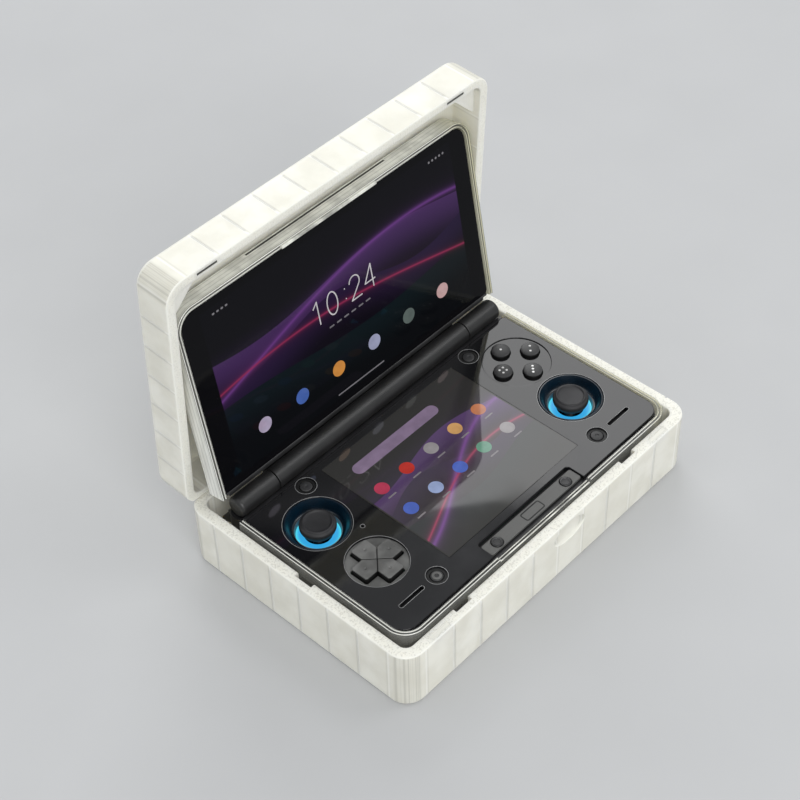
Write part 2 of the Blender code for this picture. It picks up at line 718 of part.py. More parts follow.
def case_pins():
    """The two pins of the case hinge."""
    half = CASE_KNUCKLE_LENGTH * KNUCKLES_IN_GROUP / 2
    for side, label in SIDES:
        middle = side * CASE_KNUCKLE_SHARE * CASE_HALF
        pin = Solid().rod(CASE_PIN_RADIUS, middle - half, middle + half,
                          (0, CASE_AXIS_Y, CASE_AXIS_Z), "X", TINY_STEPS)
        node("case_hinge_pin_" + label, pin, STEEL)


def lower_clear_shell():
    """The clear tray under the console, open at the hinge, with a raised lip round the face."""
    rear = HINGE_Y - SHELL_REAR_GAP
    body = tray(SHELL_HALF, SHELL_FRONT, BODY_REAR + SHELL_WALL, SHELL_BOTTOM, FACE + SHELL_LIP,
                SHELL_WALL, SHELL_FLOOR, BODY_CORNER + SHELL_WALL, SHELL_EDGE, SHELL_EASE)
    item = node("lower_clear_shell", body, CLEAR)
    cut(item, Solid().box((-SHELL_HALF - OVERRUN, SHELL_HALF + OVERRUN), (rear, BODY_REAR + SHELL_WALL * 2),
                          (SHELL_BOTTOM - OVERRUN, FACE + SHELL_LIP + OVERRUN)))
    openings = Solid()
    openings.box((-TAB_HALF_WIDTH, TAB_HALF_WIDTH), (SHELL_FRONT - OVERRUN, BODY_FRONT),
                 (FACE - SHELL_TAB_DROP, FACE + SHELL_LIP + OVERRUN))
    jack_x, card_x = JACK_ACROSS_SHARE * BODY_HALF, CARD_ACROSS_SHARE * BODY_HALF
    openings.rod(JACK_RADIUS + ROCK_GAP, SHELL_FRONT - OVERRUN, BODY_FRONT, (jack_x, 0, PORT_Z),
                 "Y", SMALL_STEPS)
    openings.box((card_x - CARD_WIDTH / 2 - ROCK_GAP, card_x + CARD_WIDTH / 2 + ROCK_GAP),
                 (SHELL_FRONT - OVERRUN, BODY_FRONT),
                 (PORT_Z - CARD_HEIGHT / 2 - ROCK_GAP, PORT_Z + CARD_HEIGHT / 2 + ROCK_GAP))
    power_y = power_place()
    openings.box((-SHELL_HALF - OVERRUN, -BODY_HALF), (power_y - POWER_LENGTH, power_y + POWER_LENGTH),
                 (PORT_Z - POWER_HEIGHT, PORT_Z + POWER_HEIGHT))
    openings.rod(FAN_GRILLE_RADIUS, SHELL_BOTTOM - OVERRUN, HOUSING_BOTTOM, (0, fan_centre(), 0))
    cut(item, openings)
    return item


def fan_centre():
    """Where the fan stands along Y, behind the battery."""
    battery_rear = BODY_FRONT + HOUSING_WALL + BATTERY_FRONT_GAP + BATTERY_LENGTH
    return battery_rear + FAN_BATTERY_GAP + FAN_SIDE / 2


def shoulder_limits(side):
    """Limits along X of a bumper and its trigger."""
    outer = BODY_HALF - SHOULDER_SIDE_GAP
    return side * (outer - SHOULDER_WIDTH), side * outer


def lower_housing():
    """The console's lower body, an open tray with a deck and trough for the hinge."""
    body = tray(BODY_HALF, BODY_FRONT, BODY_REAR, HOUSING_BOTTOM, HOUSING_TOP, HOUSING_WALL,
                HOUSING_FLOOR, BODY_CORNER, BODY_EDGE, HOUSING_EASE, rear_corner=BODY_REAR_CORNER)
    item = node("lower_housing", body, BLACK_MATT)
    deck_front = BODY_REAR - DECK_LENGTH
    additions = Solid()
    additions.box((-BODY_HALF + HOUSING_WALL / 2, BODY_HALF - HOUSING_WALL / 2),
                  (deck_front, BODY_REAR - HOUSING_WALL / 2), (HOUSING_TOP - DECK_THICKNESS, HOUSING_TOP))
    additions.box((-TAB_HALF_WIDTH, TAB_HALF_WIDTH), (BODY_FRONT + HOUSING_WALL / 2, BODY_FRONT + TAB_LENGTH),
                  (HOUSING_TOP - TAB_SHELF_THICKNESS, HOUSING_TOP))
    pad_x, pad_y = on_face(LOW_CONTROL_SHARES, -1)
    bore = PAD_RING_RADIUS + PAD_TRUNNION_REACH + PIECE_GAP
    outer, foot, top = bore + PAD_SOCKET_WALL, HOUSING_INSIDE - SEAM, FACE - PAD_SOCKET_DEPTH
    additions.spin([(bore, foot), (outer, foot), (outer, top), (bore, top)], (pad_x, pad_y, 0), closed=True)
    join(item, additions)
    cut(item, Solid().rod(BARREL_RADIUS + TURN_GAP, -BODY_HALF - OVERRUN, BODY_HALF + OVERRUN,
                          (0, HINGE_Y, HINGE_Z), "X"))
    cut(item, housing_openings())
    return item


def housing_openings():
    """Holes in the housing's walls and floor for ports, keys, bumpers, triggers and air."""
    solid = Solid()
    rear = (BODY_REAR - HOUSING_WALL - SEAM, BODY_REAR + OVERRUN)
    front = (BODY_FRONT - OVERRUN, BODY_FRONT + HOUSING_WALL + SEAM)
    low, high = shoulder_heights()
    for side, _ in SIDES:
        inner, outer = shoulder_limits(side)
        solid.box((inner - side * PIECE_GAP, outer + side * SHOULDER_OPENING_SLACK), rear, (low, high))
    solid.box((-USB_WIDTH / 2 - PIECE_GAP, USB_WIDTH / 2 + PIECE_GAP), rear,
              (PORT_Z - USB_HEIGHT / 2 - PIECE_GAP, PORT_Z + USB_HEIGHT / 2 + PIECE_GAP))
    volume_x = VOLUME_ACROSS_SHARE * BODY_HALF
    volume_half = VOLUME_LENGTH / 2 + PIECE_GAP
    solid.box((volume_x - volume_half, volume_x + volume_half), rear,
              (PORT_Z - VOLUME_HEIGHT / 2 - PIECE_GAP, PORT_Z + VOLUME_HEIGHT / 2 + PIECE_GAP))
    for step in range(VENTS):
        x = VENT_ACROSS_SHARE * BODY_HALF + (step - (VENTS - 1) / 2) * VENT_PITCH
        solid.box((x - VENT_WIDTH / 2, x + VENT_WIDTH / 2), rear,
                  (PORT_Z - VENT_HEIGHT / 2, PORT_Z + VENT_HEIGHT / 2))
    solid.rod(JACK_RADIUS + PIECE_GAP, *front, (JACK_ACROSS_SHARE * BODY_HALF, 0, PORT_Z), "Y", SMALL_STEPS)
    card_x = CARD_ACROSS_SHARE * BODY_HALF
    solid.box((card_x - CARD_WIDTH / 2 - PIECE_GAP, card_x + CARD_WIDTH / 2 + PIECE_GAP), front,
              (PORT_Z - CARD_HEIGHT / 2 - PIECE_GAP, PORT_Z + CARD_HEIGHT / 2 + PIECE_GAP))
    power_y = power_place()
    power_half = POWER_LENGTH / 2 + PIECE_GAP
    solid.box((-BODY_HALF - OVERRUN, -BODY_HALF + HOUSING_WALL + SEAM),
              (power_y - power_half, power_y + power_half),
              (PORT_Z - POWER_HEIGHT / 2 - PIECE_GAP, PORT_Z + POWER_HEIGHT / 2 + PIECE_GAP))
    for x, y in intake_places():
        solid.rod(INTAKE_RADIUS, HOUSING_BOTTOM - OVERRUN, HOUSING_INSIDE + SEAM, (x, y, 0), "Z", TINY_STEPS)
    return solid


def shoulder_heights():
    """Limits along Z of the openings for the bumpers and triggers."""
    return HOUSING_INSIDE + PIECE_GAP * 2, HOUSING_TOP - DECK_THICKNESS - PIECE_GAP


def intake_places():
    """Middles of the fan's round air holes."""
    places = []
    for step in range(INTAKES):
        angle = math.tau * step / INTAKES
        places.append((INTAKE_CIRCLE_RADIUS * math.cos(angle),
                       fan_centre() + INTAKE_CIRCLE_RADIUS * math.sin(angle)))
    return places


def button_places():
    """Middles of the four face buttons, by name."""
    x, y = on_face(HIGH_CONTROL_SHARES)
    return {
        "top": (x, y + BUTTON_OFFSET),
        "right": (x + BUTTON_OFFSET, y),
        "bottom": (x, y - BUTTON_OFFSET),
        "left": (x - BUTTON_OFFSET, y),
    }


def round_button_places():
    """Middles of the four small round buttons, by name."""
    return {
        "rear_left": on_face(REAR_ROUND_SHARES, -1),
        "rear_right": on_face(REAR_ROUND_SHARES, 1),
        "front_left": on_face(FRONT_ROUND_SHARES, -1),
        "front_right": on_face(FRONT_ROUND_SHARES, 1),
    }


def face_plate():
    """The glossy top plate, with its recesses and holes."""
    outline = rounded(-BODY_HALF, BODY_HALF, BODY_FRONT + PLATE_FRONT_INSET, HINGE_Y - PLATE_REAR_GAP,
                      PLATE_CORNER, PLATE_REAR_CORNER)
    item = node("face_plate", Solid().extrude(outline, FACE - PLATE_THICKNESS, FACE), BLACK_GLOSS)
    pad_x, pad_y = on_face(LOW_CONTROL_SHARES, -1)
    above = FACE + OVERRUN
    recesses = Solid()
    recesses.rod(PAD_DISH_RADIUS, FACE - PAD_DISH_DEPTH, above, (pad_x, pad_y, 0))
    recesses.rod(BUTTON_DISC_RADIUS, FACE - BUTTON_DISC_DEPTH, above, (*on_face(HIGH_CONTROL_SHARES), 0))
    for x, y in round_button_places().values():
        recesses.rod(ROUND_RECESS_RADIUS, FACE - ROUND_RECESS_DEPTH, above, (x, y, 0), "Z", SMALL_STEPS)
    cut(item, recesses)
    through = (FACE - PLATE_THICKNESS - OVERRUN, above)
    holes = Solid()
    x, y = display_centre()
    holes.box((x - DISPLAY_WIDTH / 2 - PIECE_GAP, x + DISPLAY_WIDTH / 2 + PIECE_GAP),
              (y - DISPLAY_LENGTH / 2 - PIECE_GAP, y + DISPLAY_LENGTH / 2 + PIECE_GAP), through)
    tab = rounded(-TAB_HALF_WIDTH, TAB_HALF_WIDTH, BODY_FRONT - OVERRUN, BODY_FRONT + TAB_LENGTH, TAB_CORNER)
    holes.extrude(tab, *through)
    for shares, side in ((HIGH_CONTROL_SHARES, -1), (LOW_CONTROL_SHARES, 1)):
        holes.rod(WELL_RADIUS, *through, (*on_face(shares, side), 0))
    holes.extrude(moved(cross(PAD_ARM_HALF_WIDTH + ROCK_GAP, PAD_REACH + ROCK_GAP), pad_x, pad_y), *through)
    for x, y in button_places().values():
        holes.rod(BUTTON_RADIUS + PIECE_GAP, *through, (x, y, 0), "Z", SMALL_STEPS)
    for x, y in round_button_places().values():
        holes.rod(ROUND_RADIUS + PIECE_GAP, *through, (x, y, 0), "Z", SMALL_STEPS)
    holes.rod(PINHOLE_RADIUS, *through, (*on_face(PINHOLE_SHARES), 0), "Z", TINY_STEPS)
    for side, _ in SIDES:
        x, y = on_face(SPEAKER_SHARES, side)
        holes.extrude(centred(x, y, SLOT_LENGTH, SLOT_WIDTH, SLOT_WIDTH / 2, CORNER_STEPS), *through)
    cut(item, holes)
    return item


def display_centre():
    """The middle of the lower display."""
    return 0, HINGE_Y - DISPLAY_REAR_GAP - DISPLAY_LENGTH / 2


def lower_display():
    """The lower display, flush with the face plate."""
    x, y = display_centre()
    block = Solid().box((x - DISPLAY_WIDTH / 2, x + DISPLAY_WIDTH / 2),
                        (y - DISPLAY_LENGTH / 2, y + DISPLAY_LENGTH / 2), (FACE - DISPLAY_THICKNESS, FACE))
    node("lower_display", block, SCREEN)


def front_tab():
    """The grey plate in the front notch and its two round pads."""
    low = HOUSING_TOP + PIECE_GAP
    front = BODY_FRONT + TAB_PLATE_FRONT_GAP
    width = TAB_HALF_WIDTH * 2 - PIECE_GAP * 2
    middle = front + TAB_PLATE_LENGTH / 2
    outline = centred(0, middle, width, TAB_PLATE_LENGTH, TAB_PLATE_CORNER)
    item = node("front_tab_plate", Solid().extrude(outline, low, low + TAB_PLATE_THICKNESS), GREY_METAL)
    holes = Solid()
    for side, label in SIDES:
        place = (side * TAB_PAD_SHARE * TAB_HALF_WIDTH, middle, 0)
        holes.rod(TAB_PAD_RADIUS + PIECE_GAP, low - OVERRUN, low + TAB_PLATE_THICKNESS + OVERRUN, place,
                  "Z", SMALL_STEPS)
        pad = Solid().spin([(TAB_PAD_RADIUS, low), (TAB_PAD_RADIUS, low + TAB_PAD_HEIGHT - PIECE_GAP),
                            (TAB_PAD_RADIUS - PIECE_GAP, low + TAB_PAD_HEIGHT)], place, "Z", SMALL_STEPS)
        node("tab_pad_" + label, pad, DARK_RUBBER)
    cut(item, holes)


def stick(label, shares, side):
    """One thumb stick: its well and can, light ring, rocker, stem and cap."""
    x, y = on_face(shares, side)
    top = (x, y, FACE)
    pivot = (x, y, FACE - STICK_PIVOT_DEPTH)
    cup_radius = WELL_RADIUS - PIECE_GAP
    can_bore = CAN_RADIUS - CAN_WALL
    can_floor = HOUSING_INSIDE + PIECE_GAP - FACE
    light_seat = -WELL_DEPTH - LIGHT_THICKNESS - PIECE_GAP
    web_under = light_seat - WELL_WEB
    well = [
        (CAN_RADIUS, can_floor), (CAN_RADIUS, -CUP_HEIGHT), (cup_radius, -CUP_HEIGHT), (cup_radius, 0),
        (cup_radius - WELL_RIM, 0), (WELL_FLOOR_RADIUS, -WELL_DEPTH), (WELL_FLOOR_RADIUS, light_seat),
        (WELL_HOLE_RADIUS, light_seat), (WELL_HOLE_RADIUS, web_under), (can_bore, web_under),
        (can_bore, can_floor + CAN_WALL),
    ]
    node(f"stick_{label}_housing", Solid().spin(well, top), WELL_BLUE, origin=top)

    light_top = light_seat + PIECE_GAP + LIGHT_THICKNESS
    inner, outer = WELL_HOLE_RADIUS + PIECE_GAP, WELL_FLOOR_RADIUS - PIECE_GAP
    light = [(inner, light_top - LIGHT_THICKNESS), (outer, light_top - LIGHT_THICKNESS),
             (outer, light_top), (inner, light_top)]
    node(f"stick_{label}_light", Solid().spin(light, top, closed=True), LIGHT_CYAN, origin=top)

    ring = gimbal_ring(pivot, ROCKER_BORE, ROCKER_RADIUS, ROCKER_HALF_HEIGHT)
    rocker = node(f"stick_{label}_rocker", ring, GREY_METAL, origin=pivot)
    join(rocker, trunnions(pivot, ROCKER_RADIUS, can_bore - PIECE_GAP, TRUNNION_RADIUS, "X"))

    post_top = STICK_PIVOT_DEPTH - POST_TOP_DEPTH
    body = [(STEM_BODY_RADIUS, -STEM_BODY_HALF_HEIGHT), (STEM_BODY_RADIUS, STEM_BODY_HALF_HEIGHT),
            (POST_RADIUS, STEM_BODY_HALF_HEIGHT + STEM_SHOULDER), (POST_RADIUS, post_top)]
    stem = node(f"stick_{label}_stem", Solid().spin(body, pivot, "Z", TINY_STEPS), STEEL, origin=pivot)
    join(stem, trunnions(pivot, STEM_BODY_RADIUS, ROCKER_BORE - PIECE_GAP, TRUNNION_RADIUS, "Y"))

    bore = POST_RADIUS + PIECE_GAP
    bore_top = -POST_TOP_DEPTH + STICK_PRESS + PIECE_GAP
    cap = [
        (bore, bore_top), (bore, -NECK_DEPTH), (NECK_RADIUS, -NECK_DEPTH), (NECK_RADIUS, -CAP_UNDER_DEPTH),
        (CAP_RADIUS - CAP_UNDER_INSET, -CAP_UNDER_DEPTH), (CAP_RADIUS, -CAP_WAIST_DEPTH),
        (CAP_RADIUS - (CAP_RADIUS - CAP_RIM_RADIUS) / 3, 0), (CAP_RIM_RADIUS, CAP_RISE),
        ((CAP_RIM_RADIUS + CAP_DISH_RADIUS) / 2, CAP_RISE), (CAP_DISH_RADIUS, CAP_RISE - CAP_DISH_DEPTH),
    ]
    node(f"stick_{label}_cap", Solid().spin(cap, top), DARK_RUBBER, origin=pivot)


def gimbal_ring(pivot, bore, radius, half_height):
    """A ring about a pivot."""
    profile = [(bore, -half_height), (radius, -half_height), (radius, half_height), (bore, half_height)]
    return Solid().spin(profile, pivot, closed=True)


def trunnions(pivot, carrier_radius, reach, radius, axis):
    """Two short pins that stand out from a ring or a stem."""
    start = carrier_radius - SEAM
    solid = Solid()
    solid.rod(radius, start, reach, pivot, axis, TINY_STEPS)
    solid.rod(radius, -reach, -start, pivot, axis, TINY_STEPS)
    return solid


def direction_pad():
    """The direction pad and the ring that lets it rock both ways."""
    x, y = on_face(LOW_CONTROL_SHARES, -1)
    pivot = (x, y, FACE - PAD_PIVOT_DEPTH)
    ring = node("dpad_pivot", gimbal_ring(pivot, PAD_RING_BORE, PAD_RING_RADIUS, PAD_RING_HALF_HEIGHT),
                GREY_METAL, origin=pivot)
    reach = PAD_RING_RADIUS + PAD_TRUNNION_REACH
    join(ring, trunnions(pivot, PAD_RING_RADIUS, reach, PAD_TRUNNION_RADIUS, "X"))
    full = moved(cross(PAD_ARM_HALF_WIDTH, PAD_REACH), x, y)
    eased = moved(cross(PAD_ARM_HALF_WIDTH - PAD_EASE, PAD_REACH - PAD_EASE), x, y)
    top = FACE + PAD_RISE
    body = Solid().levels([(full, FACE - PAD_SINK), (full, top - PAD_EASE), (eased, top)])
    pad = node("dpad", body, DARK_RUBBER, origin=pivot)
    join(pad, Solid().rod(PAD_POST_RADIUS, FACE - PAD_POST_DEPTH, FACE - PAD_SINK + SEAM, (x, y, 0),
                          "Z", TINY_STEPS))
    join(pad, trunnions(pivot, PAD_POST_RADIUS, PAD_RING_BORE - PIECE_GAP, PAD_TRUNNION_RADIUS, "Y"))


def face_buttons():
    """Four domed buttons, each with a flange under the plate and a stem to the board."""
    under = FACE - PLATE_THICKNESS - PIECE_GAP
    stem_end = BOARD_TOP + BUTTON_TRAVEL + PIECE_GAP
    edge = FACE + BUTTON_RISE - BUTTON_DOME
    flange = BUTTON_RADIUS + BUTTON_FLANGE
    for label, (x, y) in button_places().items():
        profile = [
            (BUTTON_STEM_RADIUS, stem_end), (BUTTON_STEM_RADIUS, under - BUTTON_FLANGE_THICKNESS),
            (flange, under - BUTTON_FLANGE_THICKNESS), (flange, under), (BUTTON_RADIUS, under),
        ]
        for step in range(EDGE_STEPS):
            angle = math.pi / 2 * step / EDGE_STEPS
            profile.append((BUTTON_RADIUS * math.cos(angle), edge + BUTTON_DOME * math.sin(angle)))
        centre = (x, y, 0)
        node("face_button_" + label, Solid().spin(profile, centre, "Z", SMALL_STEPS), DARK_RUBBER,
             origin=(x, y, FACE))


def round_buttons():
    """Four small round buttons in their recesses."""
    under = FACE - PLATE_THICKNESS - PIECE_GAP
    stem_end = BOARD_TOP + ROUND_TRAVEL + PIECE_GAP
    top = FACE - ROUND_SINK
    flange = ROUND_RADIUS + BUTTON_FLANGE
    for label, (x, y) in round_button_places().items():
        profile = [
            (BUTTON_STEM_RADIUS, stem_end), (BUTTON_STEM_RADIUS, under - BUTTON_FLANGE_THICKNESS),
            (flange, under - BUTTON_FLANGE_THICKNESS), (flange, under), (ROUND_RADIUS, under),
            (ROUND_RADIUS, top - ROUND_EASE), (ROUND_RADIUS - ROUND_EASE, top),
        ]
        node("round_button_" + label, Solid().spin(profile, (x, y, 0), "Z", SMALL_STEPS), DARK_RUBBER,
             origin=(x, y, FACE))


def inner_works():
    """Board, battery, fan and speakers inside the housing."""
    floor = HOUSING_INSIDE + PIECE_GAP
    board_front = BODY_FRONT + HOUSING_WALL + PIECE_GAP
    board_half = BODY_HALF - HOUSING_WALL - BOARD_MARGIN
    outline = rounded(-board_half, board_half, board_front, HINGE_Y - BOARD_REAR_GAP,
                      BODY_CORNER - HOUSING_WALL)
    board = node("main_board", Solid().extrude(outline, BOARD_BOTTOM, BOARD_TOP), BOARD_GREEN)
    holes = Solid()
    through = (BOARD_BOTTOM - OVERRUN, BOARD_TOP + OVERRUN)
    for shares, side in ((HIGH_CONTROL_SHARES, -1), (LOW_CONTROL_SHARES, 1)):
        holes.rod(CAN_RADIUS + ROCK_GAP, *through, (*on_face(shares, side), 0))
    socket_radius = PAD_RING_RADIUS + PAD_TRUNNION_REACH + PIECE_GAP + PAD_SOCKET_WALL
    holes.rod(socket_radius + ROCK_GAP, *through, (*on_face(LOW_CONTROL_SHARES, -1), 0))
    cut(board, holes)

    ceiling = BOARD_BOTTOM - PIECE_GAP
    battery_front = BODY_FRONT + HOUSING_WALL + BATTERY_FRONT_GAP
    cell = rounded(-BATTERY_WIDTH / 2, BATTERY_WIDTH / 2, battery_front, battery_front + BATTERY_LENGTH,
                   BATTERY_CORNER)
    node("battery", Solid().extrude(cell, floor, ceiling), FOIL)

    centre = (0, fan_centre(), 0)
    square = centred(0, centre[1], FAN_SIDE, FAN_SIDE, FAN_CORNER)
    frame = node("fan_housing", Solid().extrude(square, floor, ceiling), BLACK_MATT)
    fan_floor = floor + FAN_FLOOR
    cut(frame, Solid().rod(FAN_CAVITY_RADIUS, fan_floor, ceiling + OVERRUN, centre))
    join(frame, Solid().rod(FAN_POST_RADIUS, fan_floor - SEAM, fan_floor + FAN_POST_LENGTH, centre,
                            "Z", TINY_STEPS))
    air = Solid()
    for x, y in intake_places():
        air.rod(INTAKE_RADIUS, floor - OVERRUN, fan_floor + SEAM, (x, y, 0), "Z", TINY_STEPS)
    air.box((-FAN_HUB_RADIUS, FAN_HUB_RADIUS),
            (centre[1] + FAN_CAVITY_RADIUS - OVERRUN, centre[1] + FAN_SIDE),
            (fan_floor + SEAM, ceiling - FAN_FLOOR))
    cut(frame, air)

    rotor_low, rotor_high = fan_floor + FAN_LIFT, ceiling - PIECE_GAP
    bore = FAN_POST_RADIUS + PIECE_GAP
    bore_top = max(rotor_high - FAN_HUB_TOP, fan_floor + FAN_POST_LENGTH + PIECE_GAP)
    hub = [(bore, bore_top), (bore, rotor_low), (FAN_HUB_RADIUS, rotor_low), (FAN_HUB_RADIUS, rotor_high)]
    rotor = node("fan_rotor", Solid().spin(hub, centre), GREY_METAL, origin=centre)
    blades = Solid()
    for step in range(FAN_BLADES):
        angle = math.tau * step / FAN_BLADES
        along = (math.cos(angle), math.sin(angle))
        outline = []
        for radius, offset in ((FAN_HUB_RADIUS - SEAM, -1), (FAN_CAVITY_RADIUS - FAN_BLADE_GAP, -1),
                               (FAN_CAVITY_RADIUS - FAN_BLADE_GAP, 1), (FAN_HUB_RADIUS - SEAM, 1)):
            shift = offset * FAN_BLADE_THICKNESS / 2
            outline.append((radius * along[0] - shift * along[1],
                            centre[1] + radius * along[1] + shift * along[0]))
        blades.extrude(outline, rotor_low + PIECE_GAP, rotor_high - PIECE_GAP)
    join(rotor, blades)

    for side, label in SIDES:
        x, y = on_face(SPEAKER_SHARES, side)
        shape = centred(x, y, SPEAKER_WIDTH, SPEAKER_LENGTH, SPEAKER_CORNER)
        node("speaker_" + label, Solid().extrude(shape, BOARD_TOP + PIECE_GAP, HOUSING_TOP), BLACK_MATT)


def ports():
    """Sockets in the rear and front walls."""
    usb_front = BODY_REAR - PIECE_GAP
    usb = socket(centred(PORT_Z, 0, USB_HEIGHT, USB_WIDTH, USB_HEIGHT / 3),
                 centred(PORT_Z, 0, USB_HEIGHT - PORT_WALL * 2, USB_WIDTH - PORT_WALL * 2, USB_HEIGHT / 4),
                 usb_front - USB_LENGTH, usb_front, USB_LENGTH - HOUSING_WALL, "Y")
    node("usb_port", usb, STEEL)
    jack_x = JACK_ACROSS_SHARE * BODY_HALF
    mouth = BODY_FRONT + PIECE_GAP
    tube = [(JACK_RADIUS, mouth + JACK_LENGTH), (JACK_RADIUS, mouth), (JACK_BORE, mouth),
            (JACK_BORE, mouth + JACK_LENGTH - HOUSING_WALL)]
    jack = Solid().spin(tube, (jack_x, 0, PORT_Z), "Y", SMALL_STEPS)
    node("headphone_jack", jack, BLACK_MATT)
    card_x = CARD_ACROSS_SHARE * BODY_HALF
    card = socket(centred(PORT_Z, card_x, CARD_HEIGHT, CARD_WIDTH, PORT_WALL),
                  centred(PORT_Z, card_x, CARD_HEIGHT - PORT_WALL * 4, CARD_WIDTH - PORT_WALL * 2, PORT_WALL),
                  mouth + CARD_LENGTH, mouth, CARD_LENGTH - HOUSING_WALL, "Y")
    node("card_slot", card, STEEL)


def edge_keys():
    """The power key in the left wall and the volume rocker in the rear wall."""
    y = power_place()
    wall = -BODY_HALF + HOUSING_WALL + PIECE_GAP
    key = centred(y, PORT_Z, POWER_LENGTH, POWER_HEIGHT, KEY_CORNER)
    flange = centred(y, PORT_Z, POWER_LENGTH + KEY_FLANGE * 2, POWER_HEIGHT + KEY_FLANGE * 2, KEY_CORNER)
    power = Solid().levels([(key, -BODY_HALF - POWER_PROUD), (key, wall), (flange, wall),
                            (flange, wall + KEY_FLANGE_THICKNESS)], "X")
    node("power_button", power, BLACK_MATT, origin=(-BODY_HALF, y, PORT_Z))
    x = VOLUME_ACROSS_SHARE * BODY_HALF
    wall = BODY_REAR - HOUSING_WALL - ROCK_GAP
    key = centred(PORT_Z, x, VOLUME_HEIGHT, VOLUME_LENGTH, KEY_CORNER)
    flange = centred(PORT_Z, x, VOLUME_HEIGHT + KEY_FLANGE * 2, VOLUME_LENGTH + KEY_FLANGE * 2, KEY_CORNER)
    volume = Solid().levels([(key, BODY_REAR + VOLUME_PROUD), (key, wall), (flange, wall),
                             (flange, wall - KEY_FLANGE_THICKNESS)], "Y")
    node("volume_rocker", volume, BLACK_MATT, origin=(x, wall, PORT_Z))


def shoulder_keys():
    """A bumper above a trigger at each rear corner."""
    low, high = shoulder_heights()
    top = high - PIECE_GAP
    trigger_z = HOUSING_BOTTOM + TRIGGER_RISE
    trigger_y = BODY_REAR + TRIGGER_AXIS_PROUD
    for side, label in SIDES:
        inner, outer = shoulder_limits(side)
        front, rear = BODY_REAR - BUMPER_INSET, BODY_REAR + BUMPER_PROUD
        bottom = top - BUMPER_HEIGHT
        span = sorted((inner, outer))
        profile = [(front, bottom), (rear, bottom), (rear, top - BUMPER_EASE), (rear - BUMPER_EASE, top),
                   (front, top)]
        axis = (side * (abs(inner) + PIECE_GAP), BODY_REAR - BUMPER_AXIS_INSET, (bottom + top) / 2)
        node("bumper_" + label, Solid().extrude(profile, *span, "X"), BLACK_MATT, origin=axis)
        outline = [(trigger_y + a * TRIGGER_SWEEP, trigger_z + b * TRIGGER_SWEEP)
                   for a, b in TRIGGER_OUTLINE_SHARES]
        node("trigger_" + label, Solid().extrude(outline, *span, "X"), BLACK_MATT,
             origin=((inner + outer) / 2, trigger_y, trigger_z))


def hinge_fixed_parts():
    """The two outer knuckles and the pins that carry the lid's barrel."""
    axis = (0, HINGE_Y, HINGE_Z)
    inner = BARREL_HALF_LENGTH + TURN_GAP
    outer = BODY_HALF - KNUCKLE_END_GAP
    bore = HINGE_PIN_RADIUS + PIECE_GAP
    pin_start = BARREL_HALF_LENGTH - HINGE_PIN_ENTRY
    pin_end = pin_start + HINGE_PIN_LENGTH
    for side, label in SIDES:
        profile = [(bore, side * (pin_end + PIECE_GAP)), (bore, side * inner), (BARREL_RADIUS, side * inner)]
        for step in range(EDGE_STEPS + 1):
            angle = math.pi / 2 * step / EDGE_STEPS
            profile.append((BARREL_RADIUS - KNUCKLE_END_ROUND * (1 - math.cos(angle)),
                            side * (outer - KNUCKLE_END_ROUND * (1 - math.sin(angle)))))
        node("hinge_knuckle_" + label, Solid().spin(profile, axis, "X"), BLACK_MATT, origin=axis)
        span = sorted((side * pin_start, side * pin_end))
        pin = Solid().rod(HINGE_PIN_RADIUS, *span, axis, "X", TINY_STEPS)
        node("hinge_pin_" + label, pin, STEEL, origin=axis)


